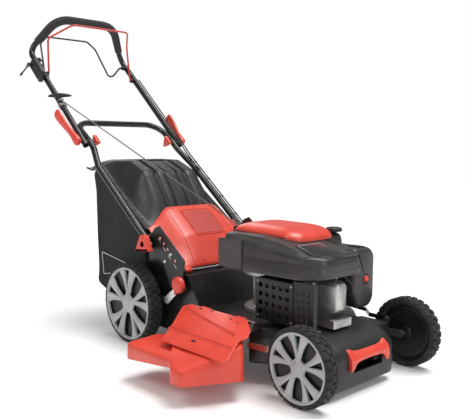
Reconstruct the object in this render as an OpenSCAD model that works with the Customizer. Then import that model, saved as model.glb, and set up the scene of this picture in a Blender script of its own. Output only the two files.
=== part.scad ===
// Rotary petrol lawn mower with grass bag, side chute and two-part folding handle.
// Frame: X points forward, Y to the operator's left, Z up from the ground.

/* [Running gear] */
// Distance between the front and rear axles
wheelbase = 718; // [712:1:724]
// Radius of the front wheels
front_r = 100; // [98:0.5:102]
// Radius of the rear wheels
rear_r = 127.5; // [126:0.5:129]
// Width of the front wheels
front_w = 45; // [43:1:46]
// Width of the rear wheels
rear_w = 52; // [50:1:52]

/* [Deck] */
// Outer radius of the pressed steel deck
deck_r = 236; // [234:1:237]
// Thickness of the deck steel
steel_t = 3; // [2:0.5:3]
// Height of the deck rim above the ground
rim_z = 58; // [55:1:60]
// Height of the deck top above the ground
deck_z = 150; // [149:0.5:150]
// Length of the cutting blade
blade_l = 452; // [440:1:456]

/* [Handle] */
// Outer radius of the handle tubes
tube_r = 11; // [10.5:0.5:11]
// Wall of the handle tubes
tube_t = 1.5; // [1:0.5:2]
// Sideways place of the lower handle's tubes beside the bag
lower_y = 208; // [208:0.5:209]
// Sideways place of the upper handle's tubes
upper_y = 207.5; // [207.5:0.5:208]
// Outer radius of the foam grip
foam_r = 16; // [15:0.5:17]

/* [Grass bag] */
// Half the width of the grass bag
bag_half = 185; // [182:1:186]
// Thickness of the bag's wall
bag_t = 4; // [3:1:5]

/* [Hidden] */
$fn = 48;

// The frame's origin: the middle of the bounding box, on the ground, seen from the front axle
centre_x = -698.75;
centre_y = -103.5;

// Running gear
crank_arm = 45;
front_pivot = [-crank_arm, 0, front_r];
rear_pivot = [-wheelbase - crank_arm, 0, rear_r];
front_hub = [0, 0, front_r];
rear_hub = [-wheelbase, 0, rear_r];
front_face = 256;
rear_face = 250;
rod_r = 6;
bush_r = 11;
run_gap = 0.06;
gap = 0.3;
link_rise = 34;
lap = 0.6;

// Engine and blade
axis_x = -300;
blade_z = 74;

port_at = [-300, 188];

// Rear tunnel and flap
tunnel_half = 178;
flap_hinge = [-530, 0, 250];
flap_half = 186;

// Side discharge
side_hinge = [0, -243, 180];

// Handle
lower_pivot = [-650, 324];
clamp_y = 184;
clamp_at = [-1031, 640];
lower_top = [-1130, 706];
upper_bend = [-1417, 985];
upper_corner = [-1344, 125, 1106];
upper_dir = unit([upper_bend.x - clamp_at.x, 0, upper_bend[1] - clamp_at[1]]);
upper_normal = [upper_dir.z, 0, -upper_dir.x];
opc_pivot = tube_point(-1312);
drive_pivot = tube_point(-1375);
guide_eye = [-1172, -214, 788];
pull_dir = unit([-0.3, -0.1, 0.95]);

function unit(v) = v / norm(v);
// The point on the upper handle's leg at a given x, without its sideways place
function tube_point(x) =
    [x, 0, clamp_at[1] + (clamp_at.x - x) * (upper_bend[1] - clamp_at[1]) / (clamp_at.x - upper_bend.x)];
function side(p, y) = [p.x, y, p.z];

// ---------- Helpers ----------

module place() translate([-centre_x, -centre_y, 0]) children();

module both_sides() {
    children();
    mirror([0, 1, 0]) children();
}

// Puts local X along x and local Z along z, at p
module at_frame(p, x, z) {
    y = cross(z, x);
    multmatrix([
        [x.x, y.x, z.x, p.x],
        [x.y, y.y, z.y, p.y],
        [x.z, y.z, z.z, p.z],
        [0, 0, 0, 1]
    ]) children();
}

// A direction square to v
function square_to(v) = unit(cross(v, abs(v.z) < 0.9 ? [0, 0, 1] : [1, 0, 0]));

module rod(a, b, r) {
    z = unit(b - a);
    at_frame(a, square_to(z), z) cylinder(h = norm(b - a), r = r);
}

// A tube through points, with a bend of the given radius at each inner point;
// bends are a hair thicker and the straights run a little way into them
module pipe(points, bends, r) {
    last = len(points) - 1;
    function cut(i) =
        i == 0 || i == last ? 0 :
        bends[i - 1] * tan(acos(unit(points[i] - points[i - 1]) * unit(points[i + 1] - points[i])) / 2);
    for (i = [0 : last - 1]) {
        u = unit(points[i + 1] - points[i]);
        a = i == 0 ? 0 : cut(i) - lap;
        b = i == last - 1 ? 0 : cut(i + 1) - lap;
        rod(points[i] + a * u, points[i + 1] - b * u, r);
    }
    for (i = [1 : last - 1]) {
        u = unit(points[i] - points[i - 1]);
        v = unit(points[i + 1] - points[i]);
        w = unit(v - (v * u) * u);
        at_frame(points[i] - cut(i) * u + bends[i - 1] * w, -w, cross(u, w))
            rotate_extrude(angle = acos(u * v)) translate([bends[i - 1], 0]) circle(r + 0.05);
    }
}

// A flat plate lying in XZ, from y0 to y1
module xz_plate(points, y0, y1)
    translate([0, y1, 0]) rotate([90, 0, 0]) linear_extrude(y1 - y0) polygon(points);

// A cylinder along Y, from y0 to y1
module y_rod(p, y0, y1, r) translate([p.x, y0, p.z]) rotate([-90, 0, 0]) cylinder(h = y1 - y0, r = r);

module box(a, b) translate(a) cube(b - a);

// ---------- Deck ----------

module deck_bell(r, z0, z1, shoulder)
    translate([axis_x, 0, 0]) rotate_extrude($fn = 96)
        polygon([[0, z0], [r, z0], [r, z1 - shoulder], [r - 0.3 * shoulder, z1 - 0.3 * shoulder],
                 [r - shoulder, z1], [0, z1]]);

tunnel_outline = [[-400, rim_z], [-400, deck_z], [-440, deck_z], [-500, 240], [-545, 244],
                  [-690, 100], [-690, rim_z]];
tunnel_hollow = [[-380, 40], [-380, deck_z - steel_t], [-441.5, deck_z - steel_t], [-501.5, 237],
                 [-560, 241], [-720, 241], [-720, 40]];

module deck() {
    color("#242424") difference() {
        union() {
            deck_bell(deck_r, rim_z, deck_z, 18);
            xz_plate(tunnel_outline, -tunnel_half, tunnel_half);
            both_sides() box([-795, tunnel_half - steel_t, 92], [-660, tunnel_half, 158]);
            both_sides() xz_plate([[-540, 225], [-545, 240], [-605, 288], [-682, 348], [-692, 348],
                                   [-692, 95], [-640, 95]], tunnel_half - steel_t, tunnel_half);
        }
        deck_bell(deck_r - steel_t, rim_z - 20, deck_z - steel_t, 17);
        xz_plate(tunnel_hollow, -tunnel_half + steel_t, tunnel_half - steel_t);
        translate([axis_x, 0, deck_z - 10]) cylinder(h = 20, r = 36);
        box([-400, -260, 40], [-200, -150, 128]);
        y_rod(rear_pivot, -200, 200, rod_r + gap);
        translate([port_at.x, port_at.y, deck_z - 10]) cylinder(h = 20, r = 10);
    }
}

// How far the front cover's nose reaches to the left, short of the wheel
cover_left = 112;
cover_outline = [[-128, deck_z + 0.5], [-128, deck_z + 4], [-62, deck_z + 6], [-25, deck_z],
                 [22, 128], [40, 108], [43, 60], [43, 20]];
cover_hollow = [[-140, 0], [-140, deck_z + 0.5], [-62, deck_z + 2.5], [-27, deck_z - 3.5],
                [20, 125], [37, 106], [40, 60], [40, 0]];

module front_cover() {
    color("#2a2a2a") difference() {
        union() {
            difference() {
                xz_plate(concat(cover_outline, [[-60, 20], [-125, 60]]), -185, cover_left);
                xz_plate(cover_hollow, -182, cover_left - 3);
            }
            box([6, -86, 48], [41, 48, 96]);
            difference() {
                box([-128, cover_left - 3, 60], [-30, 185, 130]);
                box([-140, cover_left, 40], [-33, 182, 127]);
            }
        }
        translate([axis_x, 0, 0]) cylinder(h = deck_z + 0.4, r = deck_r + 0.5);
        box([10, -82, 56], [60, 44, 92]);
        y_rod(front_pivot, -200, 200, rod_r + gap);
    }
}

module front_grab_handle() {
    color("#e8473a") difference() {
        box([43, -102, 64], [54, 66, 122]);
        box([40, -82, 60], [60, 44, 88]);
    }
}

module washout_port() {
    color("#2c2c2c") translate([port_at.x, port_at.y, 0]) difference() {
        union() {
            translate([0, 0, deck_z]) cylinder(h = 4, r = 16);
            translate([0, 0, deck_z - 6]) cylinder(h = 10, r = 9.9);
            translate([0, 0, deck_z + 4]) cylinder(h = 18, r = 8.5);
        }
        translate([0, 0, deck_z - 10]) cylinder(h = 50, r = 5);
    }
}

module flap_knuckles(half)
    for (s = [-1, 1]) translate([flap_hinge.x, s * half, flap_hinge.z])
        rotate([90, 0, 0]) cylinder(h = 24, r = 7, center = true);

// The crowned shell of the rear flap: drop lowers it to make its hollow
module flap_form(drop, half)
    hull() {
        translate([-542, 0, 256 - drop]) rotate([90, 0, 0]) cylinder(h = 2 * half, r = 4, center = true);
        translate([-682, 0, 366 - drop]) rotate([90, 0, 0]) cylinder(h = 2 * half, r = 4, center = true);
        translate([-702, 0, 424 - drop]) rotate([90, 0, 0]) cylinder(h = half, r = 6, center = true);
        translate([-600, 0, 345 - drop]) rotate([90, 0, 0]) cylinder(h = half, r = 6, center = true);
    }

module rear_flap() {
    color("#e8473a") difference() {
        union() {
            difference() {
                flap_form(0, flap_half);
                flap_form(5, flap_half - 4);
                translate([0, 0, -14]) flap_form(5, flap_half - 4);
                box([-740, -flap_half - 1, 200], [-560, flap_half + 1, 262]);
            }
            for (s = [-1, 1]) translate([-545, s * 150 - 12, 246]) cube([15, 24, 12]);
            flap_knuckles(150);
        }
        y_rod(flap_hinge, -200, 200, 3 + run_gap);
    }
}

module side_flap() {
    color("#e8473a") difference() {
        union() {
            for (x = [-340, -200]) translate([x, side_hinge.y, side_hinge.z])
                rotate([0, 90, 0]) cylinder(h = 30, r = 6, center = true);
            translate([0, side_hinge.y, side_hinge.z]) rotate([23, 0, 0]) translate([0, 0, 2])
                linear_extrude(4) polygon([[-400, -2], [-418, -20], [-374, -100], [-346, -163],
                                           [-110, -164], [-100, -150], [-130, -80], [-116, -64],
                                           [-132, -34], [-160, -14], [-175, -2]]);
        }
        translate([-500, side_hinge.y, side_hinge.z]) rotate([0, 90, 0])
            cylinder(h = 500, r = 3 + run_gap);
    }
}

chute_plan = [[-200, -236.4], [-112, -318], [-185, -463], [-225, -463], [-250, -440], [-443, -440],
              [-450, -330], [-405, -300], [-400, -236.4]];

module chute_plan_inset(d) offset(delta = -d) polygon(chute_plan);

module discharge_chute() {
    color("#e8473a") difference() {
        intersection() {
            translate([0, 0, 52]) linear_extrude(120) polygon(chute_plan);
            translate([-500, 0, 0]) rotate([90, 0, 90]) linear_extrude(400)
                polygon([[-230, 40], [-480, 40], [-480, 80], [-250, 170], [-230, 170]]);
        }
        intersection() {
            translate([0, 0, 40]) linear_extrude(130) chute_plan_inset(3);
            translate([-500, 0, 0]) rotate([90, 0, 90]) linear_extrude(400)
                polygon([[-200, 30], [-490, 30], [-490, 72], [-250, 166.5], [-200, 166.5]]);
        }
        box([-396, -245, 40], [-210, -230, 140]);
        box([-480, -500, 40], [-250, -200, 62]);
        for (x = [-375, -165]) box([x - 4, -250, 120], [x + 4, -230, 180]);
    }
}

// Screws and the two flap hinge rods
module deck_fasteners() {
    color("#c8c8c8") {
        y_rod(flap_hinge, -174, 174, 3);
        for (s = [-1, 1]) translate([flap_hinge.x, s * 174, flap_hinge.z]) rotate([90, 0, 0])
            cylinder(h = 8, r = 5, center = true);
        translate([-388, side_hinge.y, side_hinge.z]) rotate([0, 90, 0]) cylinder(h = 236, r = 3);
        for (x = [-375, -165]) translate([x, 0, 0]) {
            box([-3, side_hinge.y - 6, 150.3], [3, -238.5, 174.5]);
            box([-3, side_hinge.y - 6, 150.3], [3, -190, 153]);
        }
        for (a = [30 : 120 : 270]) translate([axis_x, 0, 0]) rotate(a)
            translate([84, 0, 160]) cylinder(h = 7, r = 7, $fn = 6);
    }
}

bracket_outline = [[-672, 330], [-640, 372], [-615, 382], [-492, 288], [-505, 200], [-560, 200],
                   [-592, 262], [-655, 308]];

module handle_brackets() {
    color("#1d1d1d") both_sides() {
        difference() {
            union() {
                xz_plate(bracket_outline, 193, 196);
                box([-545, tunnel_half, 202], [-512, 193.5, 236]);
            }
            for (t = [0 : 0.25 : 1])
                y_rod([-612 + 74 * t, 0, 344 - 62 * t], 185, 205, 5);
        }
        y_rod([lower_pivot.x, 0, lower_pivot[1]], 195, 236, 4);
        for (p = [[-585, 275], [-530, 215]]) y_rod([p.x, 0, p[1]], 195.5, 199, 5);
    }
}

module handle_locks() {
    color("#e8473a") both_sides() difference() {
        xz_plate([[-690, 298], [-612, 306], [-636, 352], [-664, 352]], 219.4, 236);
        y_rod([lower_pivot.x, 0, lower_pivot[1]], 210, 240, 4);
    }
}

// ---------- Wheels and height adjustment ----------

// Wheel with a moulded disc and tyre; y runs from the inner face at 0 to the outer face at w
module wheel_body(r, w)
    rotate([-90, 0, 0]) rotate_extrude($fn = 72)
        polygon([[bush_r + run_gap, 1], [22, 1], [24, 10], [r - 24, 10], [r - 16, 0], [r - 4, 0],
                 [r, 5], [r, w - 8], [r - 5, w - 2], [r - 11, w - 2], [r - 11, w - 14],
                 [24, w - 18], [22, w - 12], [bush_r + run_gap, w - 12]]);

module hubcap_body(r, w, cap_r)
    rotate([-90, 0, 0]) difference() {
        union() {
            translate([0, 0, w - 10]) difference() {
                cylinder(h = 10, r = cap_r, $fn = 72);
                translate([0, 0, -1]) cylinder(h = 12, r = cap_r - 6, $fn = 72);
            }
            translate([0, 0, w - 8]) cylinder(h = 7, r = cap_r * 0.26);
            for (i = [0 : 4]) for (s = [-1, 1]) rotate(72 * i) translate([0, s * cap_r * 0.12, w - 8])
                rotate(s * 9) translate([cap_r * 0.15, -cap_r * 0.055, 0])
                    cube([cap_r * 0.8, cap_r * 0.11, 6]);
        }
        translate([0, 0, w - 11]) cylinder(h = 5, r = 13);
    }

module wheel_at(hub, face, w, left) {
    if (left) translate([hub.x, face - w, hub.z]) children();
    else translate([hub.x, -(face - w), hub.z]) mirror([0, 1, 0]) children();
}

module front_wheel(left) color("#2b2b2b")
    wheel_at(front_hub, front_face, front_w, left) wheel_body(front_r, front_w);
module rear_wheel(left) color("#2b2b2b")
    wheel_at(rear_hub, rear_face, rear_w, left) wheel_body(rear_r, rear_w);
module front_hubcap(left) color("#b4b6b6")
    wheel_at(front_hub, front_face, front_w, left) hubcap_body(front_r, front_w, 88.5);
module rear_hubcap(left) color("#b4b6b6")
    wheel_at(rear_hub, rear_face, rear_w, left) hubcap_body(rear_r, rear_w, 115.5);

// A flat crank arm between two points in XZ, from y0 to y1
module arm(a, b, y0, y1, r) {
    d = unit(b - a);
    y_rod(a, y0, y1, r);
    y_rod(b, y0, y1, r);
    translate([a.x, y0, a.z]) rotate([0, -atan2(d.z, d.x), 0])
        translate([0, 0, -0.8 * r]) cube([norm(b - a), y1 - y0, 1.6 * r]);
}

link_pin = [0, 0, link_rise];

module crank_axle(pivot, hub, rod_half, arm_t, stub_end) {
    y_rod(pivot, -rod_half - 1, rod_half + 1, rod_r);
    both_sides() {
        arm(pivot, hub, rod_half, rod_half + arm_t, 11);
        y_rod(hub, rod_half + arm_t - 1, stub_end, rod_r);
    }
    arm(pivot, pivot + link_pin, rod_half, rod_half + arm_t, 8);
    y_rod(pivot + link_pin, rod_half + arm_t - 1, rod_half + arm_t + 6, 3);
}

module front_axle() color("#9a9a9a") crank_axle(front_pivot, front_hub, 189, 6, front_face - 12);
module rear_axle() color("#9a9a9a") crank_axle(rear_pivot, rear_hub, 183, 5, rear_face - 12);

module bushes(hub, y0, y1)
    both_sides() difference() {
        union() {
            y_rod(hub, y0, y1, bush_r);
            y_rod(hub, y0 - 1.2, y0, bush_r + 3);
        }
        y_rod(hub, y0 - 5, y1 + 5, rod_r);
    }

module front_bearings() color("#d0d0c8") bushes(front_hub, front_face - front_w + 1, front_face - 13.2);
module rear_bearings() color("#d0d0c8") bushes(rear_hub, rear_face - rear_w + 1, rear_face - 13.2);

// Where the height lever's strip steps outwards past the wheel
lever_step = [-575, 0, 158];
knob_at = [-490, 0, 220];

module height_lever() {
    color("#cfcfcf") {
        xz_plate([[-772, 118], [-772, 138], [-750, 160], [-566, 165], [-566, 150], [-742, 144],
                  [-754, 118]], -191, -188.3);
        box([-575, -209, 150], [-566, -188.3, 165]);
        xz_plate([[-575, 150], [-575, 165], [-500, 222], [-485, 212], [-556, 150]], -209, -206);
    }
}

module height_knob() {
    color("#e8473a") difference() {
        union() {
            y_rod(knob_at, -228, -209, 25);
            y_rod(knob_at, -232, -227, 19);
        }
        box([-600, -208, 100], [-400, -200, 300]);
    }
}

// Strip that joins the two cranks, on the left of the deck
module height_link() {
    rear_end = rear_pivot + link_pin;
    front_end = front_pivot + link_pin;
    inner_y = 189;
    color("#bdbdbd") difference() {
        union() {
            y_rod(rear_end, inner_y, inner_y + 3, 8);
            y_rod(front_end, 196, 199, 8);
            xz_plate([[rear_end.x, rear_end.z - 6], [rear_end.x, rear_end.z + 6],
                      [-572, rear_end.z + 1], [-572, rear_end.z - 11]], inner_y, inner_y + 3);
            translate([0, 0, rear_end.z - 12]) linear_extrude(12)
                polygon([[-576, inner_y], [-572, inner_y], [-520, 239], [-520, 242],
                         [-523, 242], [-576, inner_y + 3]]);
            xz_plate([[-523, rear_end.z - 12], [-523, rear_end.z], [-150, front_end.z + 6],
                      [-150, front_end.z - 6]], 239, 242);
            translate([0, 0, front_end.z - 6]) linear_extrude(12)
                polygon([[-153, 242], [-150, 242], [-106, 199], [-104, 196], [-108, 196], [-153, 239]]);
            xz_plate([[-108, front_end.z - 6], [-108, front_end.z + 6], [front_end.x, front_end.z + 6],
                      [front_end.x, front_end.z - 6]], 196, 199);
        }
        y_rod(rear_end, 180, 200, 3 + run_gap);
        y_rod(front_end, 190, 205, 3 + run_gap);
    }
}

// ---------- Handle ----------

lower_leg = [[lower_pivot.x, lower_y, lower_pivot[1]], [-935, lower_y, 551.6], [-1004, clamp_y, 616],
             [clamp_at.x, clamp_y, clamp_at[1]], [lower_top.x, clamp_y, lower_top[1]]];
lower_points = concat(lower_leg, [for (i = [4 : -1 : 0])
    [lower_leg[i].x, -lower_leg[i].y, lower_leg[i].z]]);
lower_bends = [50, 40, 60, 58, 58, 60, 40, 50];
lower_dir = unit(lower_leg[1] - lower_leg[0]);

function stretched(points, d) =
    [for (i = [0 : len(points) - 1])
        i == 0 ? points[0] - d * unit(points[1] - points[0]) :
        i == len(points) - 1 ? points[i] + d * unit(points[i] - points[i - 1]) :
        points[i]];

module hollow_pipe(points, bends, r, t)
    difference() {
        pipe(points, bends, r);
        pipe(stretched(points, 2), bends, r - t);
    }

module lower_handle() {
    color("#1c1c1c") difference() {
        hollow_pipe(stretched(lower_points, 14), lower_bends, tube_r, tube_t);
        y_rod([lower_pivot.x, 0, lower_pivot[1]], -220, 220, 4 + run_gap);
        y_rod([clamp_at.x, 0, clamp_at[1]], -220, 220, 4);
    }
}

upper_start = [clamp_at.x, upper_y, clamp_at[1]] - 22 * upper_dir;
upper_points = [upper_start, [upper_bend.x, upper_y, upper_bend[1]], upper_corner,
                [upper_corner.x, -upper_corner.y, upper_corner.z],
                [upper_bend.x, -upper_y, upper_bend[1]],
                [upper_start.x, -upper_start.y, upper_start.z]];

module upper_handle() {
    color("#1c1c1c") difference() {
        hollow_pipe(upper_points, [42, 55, 55, 42], tube_r, tube_t);
        y_rod([clamp_at.x, 0, clamp_at[1]], -230, 230, 4 + run_gap);
        y_rod(opc_pivot, -230, 230, 3.5 + run_gap);
        y_rod(drive_pivot, -230, 230, 3.5 + run_gap);
    }
}

module foam_grip() {
    leg_top = upper_points[2];
    leg_foot = upper_points[1] + 0.27 * (leg_top - upper_points[1]);
    route = [leg_foot, leg_top, upper_points[3], [leg_foot.x, -leg_foot.y, leg_foot.z]];
    color("#2e2e2e") hollow_pipe(route, [55, 55], foam_r, foam_r - tube_r - 0.15);
}

// Local frame of the clamp on the left leg: X along the leg, Y outwards
module clamp_frame() at_frame([clamp_at.x, 0, clamp_at[1]], upper_dir, -upper_normal) children();

cam_y = 231;

module cam_lever() {
    color("#e8473a") clamp_frame() difference() {
        union() {
            translate([0, cam_y, 0]) cylinder(h = 30, r = 12, center = true);
            translate([0, cam_y - 4, -15]) cube([50, 14, 30]);
            translate([45, cam_y + 3, -11]) cube([65, 11, 22]);
            translate([105, cam_y + 10, -16]) cube([48, 14, 32]);
        }
        translate([0, cam_y, 0]) cylinder(h = 40, r = 4 + run_gap, center = true);
        translate([-20, cam_y - 20, -5]) cube([24.6, 27.5, 10]);
    }
}

module cam_lever_left() cam_lever();
module cam_lever_right() mirror([0, 1, 0]) cam_lever();

// Eye bolts with their cross pins and the inner star nuts
module clamp_bolts() {
    color("#e8473a") both_sides() {
        y_rod([clamp_at.x, 0, clamp_at[1]], 150, cam_y, 4);
        clamp_frame() translate([0, cam_y, 0]) cylinder(h = 29, r = 4, center = true);
        translate([clamp_at.x, 0, clamp_at[1]]) rotate([-90, 0, 0]) {
            translate([0, 0, 152]) cylinder(h = 14, r = 14);
            for (a = [0 : 120 : 240]) rotate(a + 20) translate([0, -6, 152]) cube([27, 12, 12]);
        }
    }
}

module control_box() {
    color("#262626") at_frame([-1322, -upper_y, tube_point(-1322).z], upper_dir, upper_normal)
        difference() {
            union() {
                translate([-50, 11.5, -17]) cube([100, 18, 34]);
                translate([-30, -2, 9]) cube([46, 20, 12]);
            }
            rotate([0, 90, 0]) cylinder(h = 140, r = tube_r, center = true);
            translate([42, 25, 0]) rotate([90, 0, 0]) cylinder(h = 30, r = 1, center = true);
        }
}

module throttle_lever() {
    color("#2a2a2a") {
        y_rod([-1352, 0, 926], -245, -237.5, 7);
        rod([-1352, -243, 926], [-1424, -243, 890], 2.5);
        translate([-1424, -243, 890]) sphere(4);
    }
}

opc_points = [side(opc_pivot, 216), side(opc_pivot, 184), [-1326, 178, 1025], [-1238, 122, 1071],
              [-1238, -122, 1071], [-1326, -178, 1025], side(opc_pivot, -184), side(opc_pivot, -216)];

module opc_bail() color("#d2413a") pipe(opc_points, [10, 18, 28, 28, 18, 10], 3.5);

drive_points = [side(drive_pivot, 216), side(drive_pivot, 176), [-1408, 150, 898],
                [-1484, 126, 1028], [-1494, 92, 1058], [-1494, -92, 1058], [-1484, -126, 1028],
                [-1408, -150, 898], side(drive_pivot, -176), side(drive_pivot, -216)];

module drive_bail() color("#1f1f1f") pipe(drive_points, [12, 20, 20, 20, 20, 20, 20, 12], 3.5);

module rope_guide() {
    base = side(tube_point(-1172), -upper_y);
    color("#8a8a8a") difference() {
        union() {
            at_frame(base, upper_dir, upper_normal)
                rotate([0, 90, 0]) cylinder(h = 16, r = tube_r + 3, center = true);
            rod(base + (tube_r + 2.6) * upper_normal, guide_eye + [7.6, 0, 2.4], 2.5);
            at_frame(guide_eye, square_to(pull_dir), pull_dir)
                rotate_extrude() translate([8, 0]) circle(2.5);
        }
        at_frame(base, upper_dir, upper_normal)
            rotate([0, 90, 0]) cylinder(h = 90, r = tube_r + 0.1, center = true);
        rod(rope_end, guide_eye, 2.5);
    }
}

grip_at = guide_eye + 17 * pull_dir;
grip_bar = unit([0.5, 0.85, 0.05]);

module starter_grip() {
    color("#242424") {
        rod(grip_at - 42 * grip_bar, grip_at + 42 * grip_bar, 9);
        rod(guide_eye + 4 * pull_dir, grip_at, 5);
    }
}

rope_end = [-446, -6, 378];
module starter_rope() color("#3a3a3a") rod(rope_end, guide_eye, 2);

brake_route = [[-1290, 213, 895], [-1100, 213, 725], [-960, 214, 594], [-660, 214, 354],
               [-590, 214, 334], [-500, 206, 300], [-420, 168, 276], [-396, 152, 274]];
drive_route = [[-1360, 202, 957.5], [-1100, 202, 725], [-960, 202, 594], [-660, 202, 354],
               [-600, 204, 328], [-560, 204, 262], [-548, 202, 200]];

module brake_cable() color("#202020") pipe(brake_route, [60, 60, 60, 40, 40, 40, 12], 2.5);
module drive_cable() color("#202020") pipe(drive_route, [60, 60, 60, 30, 30], 2.5);

clip_at = [-912, lower_y, 533.3];
module cable_clips() {
    color("#1a1a1a") at_frame(side(clip_at, lower_y), lower_dir, [0, 1, 0]) difference() {
        union() {
            rotate([0, 90, 0]) cylinder(h = 18, r = tube_r + 3, center = true);
            translate([-9, -26, -13]) cube([18, 16, 26]);
        }
        rotate([0, 90, 0]) cylinder(h = 30, r = tube_r + 0.1, center = true);
    }
}

// ---------- Engine ----------

module engine_block() {
    color("#9fa0a0") difference() {
        union() {
            translate([axis_x, 0, deck_z]) cylinder(h = 10, r = 95);
            translate([axis_x, 0, deck_z + 8]) cylinder(h = 112, r = 68);
            box([-240, -56, 196], [-120, 10, 270]);
            for (i = [0 : 6]) box([-205 + 13 * i, -66, 190], [-200 + 13 * i, 30, 274]);
            box([-180, -78, deck_z + 6.4], [-26, -2, 178]);
            box([-150, -36, 160], [-120, 6, 200]);
        }
        translate([axis_x, 0, deck_z - 10]) cylinder(h = 160, r = 12.5 + run_gap);
    }
}

module rocker_cover() {
    color("#c4c4c0") intersection() {
        translate([-119.5, 0, 0]) rotate([90, 0, 90]) linear_extrude(90)
            polygon([[-67, 202], [-59, 190], [-18, 190], [-10, 200], [-10, 266], [-20, 278], [-57, 278],
                     [-67, 266]]);
        linear_extrude(400) polygon([[-120, -70], [-46, -70], [-30, -56], [-30, -20], [-44, -8],
                                     [-120, -8]]);
    }
}

cowl_plan = [[-398, -120], [-384, -150], [-70, -150], [-28, -112], [-28, 44], [-166, 44],
             [-166, 150], [-384, 150], [-398, 120]];
cowl_side = [[-398, 280], [-398, 372], [-380, 382], [-262, 384], [-190, 378], [-130, 364], [-80, 350],
             [-28, 343], [-28, 290], [-210, 278]];
cowl_inside = [[-394, 200], [-394, 370], [-379, 378], [-262, 380], [-191, 374], [-131, 360],
               [-81, 346], [-32, 339], [-32, 200]];

module engine_cowl() {
    color("#3b3836") difference() {
        intersection() {
            translate([0, 0, 250]) linear_extrude(200) polygon(cowl_plan);
            xz_plate(cowl_side, -160, 160);
        }
        intersection() {
            translate([0, 0, 200]) linear_extrude(240)
                polygon([[-394, -118], [-382, -146], [-72, -146], [-32, -110], [-32, 40],
                         [-170, 40], [-170, 146], [-382, 146], [-394, 118]]);
            xz_plate(cowl_inside, -146, 146);
        }
        translate([axis_x, 0, 370]) cylinder(h = 40, r = 60);
    }
}

module dome(grow, z0, z1)
    hull() {
        for (x = [-388, -174]) for (y = [-70, 70])
            translate([x, y, z0]) cylinder(h = x < -200 ? 392 - z0 : 378 - z0, r = 24 + grow, $fn = 24);
        translate([-330, 0, z1 - 4]) cylinder(h = 4, r = 50 + grow, $fn = 24);
        translate([-235, 0, z1 - 6]) cylinder(h = 4, r = 46 + grow, $fn = 24);
    }

module top_cover() {
    color("#e8473a") difference() {
        dome(0, 356, 410);
        dome(-4, 340, 406);
        xz_plate([[-450, 300], [-450, 384.3], [-262, 384.3], [-190, 378.3], [-130, 364.3],
                  [-130, 300]], -200, 200);
    }
}

cap_at = [-187, 121, 381.3];
module fuel_cap() {
    color("#2a2a2a") translate(cap_at) {
        cylinder(h = 13, r = 23);
        for (a = [0 : 30 : 330]) rotate(a) translate([23, 0, 0]) cylinder(h = 13, r = 2);
    }
}

module dipstick() {
    color("#202020") translate([-262, 100, 0]) {
        translate([0, 0, 240]) cylinder(h = 6, r = 13);
        translate([0, 0, 246]) box([-11, -3, 0], [11, 3, 12]);
        translate([0, 0, 166]) cylinder(h = 75, r = 2.5);
    }
}

module air_filter_cover() {
    color("#343130") difference() {
        intersection() {
            translate([-162, 0, 0]) rotate([90, 0, 90]) linear_extrude(104)
                polygon([[52, 220], [72, 180], [128, 176], [150, 200], [150, 330], [130, 350],
                         [52, 350]]);
            linear_extrude(400) polygon([[-162, 52], [-58, 52], [-58, 130], [-80, 150],
                                         [-162, 150]]);
        }
        intersection() {
            translate([-170, 0, 0]) rotate([90, 0, 90]) linear_extrude(106)
                polygon([[58, 222], [75, 186], [126, 182], [145, 202], [145, 328], [128, 345],
                         [58, 345]]);
            linear_extrude(400) polygon([[-170, 58], [-64, 58], [-64, 128], [-82, 145],
                                         [-170, 145]]);
        }
        translate([-90, 104, 262]) rotate([0, 90, 0]) cylinder(h = 50, r = 10);
    }
}

primer_at = [-60, 104, 262];
module primer_bulb() {
    color("#e8473a") translate(primer_at) rotate([0, 90, 0]) {
        translate([0, 0, -5]) cylinder(h = 10, r = 9.5);
        translate([0, 0, 4.5]) cylinder(h = 4, r = 7);
    }
}

module muffler() {
    color("#77736e") {
        box([-212, -140, 176], [-118, -88, 262]);
        translate([-165, -92, 225]) rotate([-90, 0, 0]) cylinder(h = 26, r = 12);
    }
}

// Perforated guard round the muffler, with its flat grille in front
module muffler_guard() {
    color("#1b1b1b") difference() {
        union() {
            box([-232, -158, 164], [-98, -80, 276]);
            box([-98.5, -156, 168], [-30, -150.5, 284]);
            box([-34, -156, 168], [-30, -142, 284]);
        }
        box([-228, -154, 160], [-102, -70, 272]);
        for (i = [0 : 4]) for (j = [0 : 3])
            translate([-214 + 24 * i, -150, 186 + 24 * j]) rotate([90, 0, 0])
                cylinder(h = 20, r = 7, center = true);
        for (i = [0 : 2]) for (j = [0 : 4])
            box([-90 + 18 * i, -160, 180 + 18 * j], [-79 + 18 * i, -145, 190 + 18 * j]);
    }
}

module flywheel() {
    color("#8c8c8c") translate([axis_x, 0, 300]) difference() {
        union() {
            cylinder(h = 12, r = 80);
            cylinder(h = 28, r = 26);
            for (a = [0 : 30 : 330]) rotate(a) translate([42, -1.5, 10]) cube([34, 3, 22]);
        }
        translate([0, 0, -1]) cylinder(h = 40, r = 9);
    }
}

module crankshaft() {
    color("#b0b0b0") translate([axis_x, 0, 0]) {
        translate([0, 0, 82]) cylinder(h = 208, r = 12.5);
        translate([0, 0, 289]) cylinder(h = 44, r = 9);
    }
}

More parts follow.
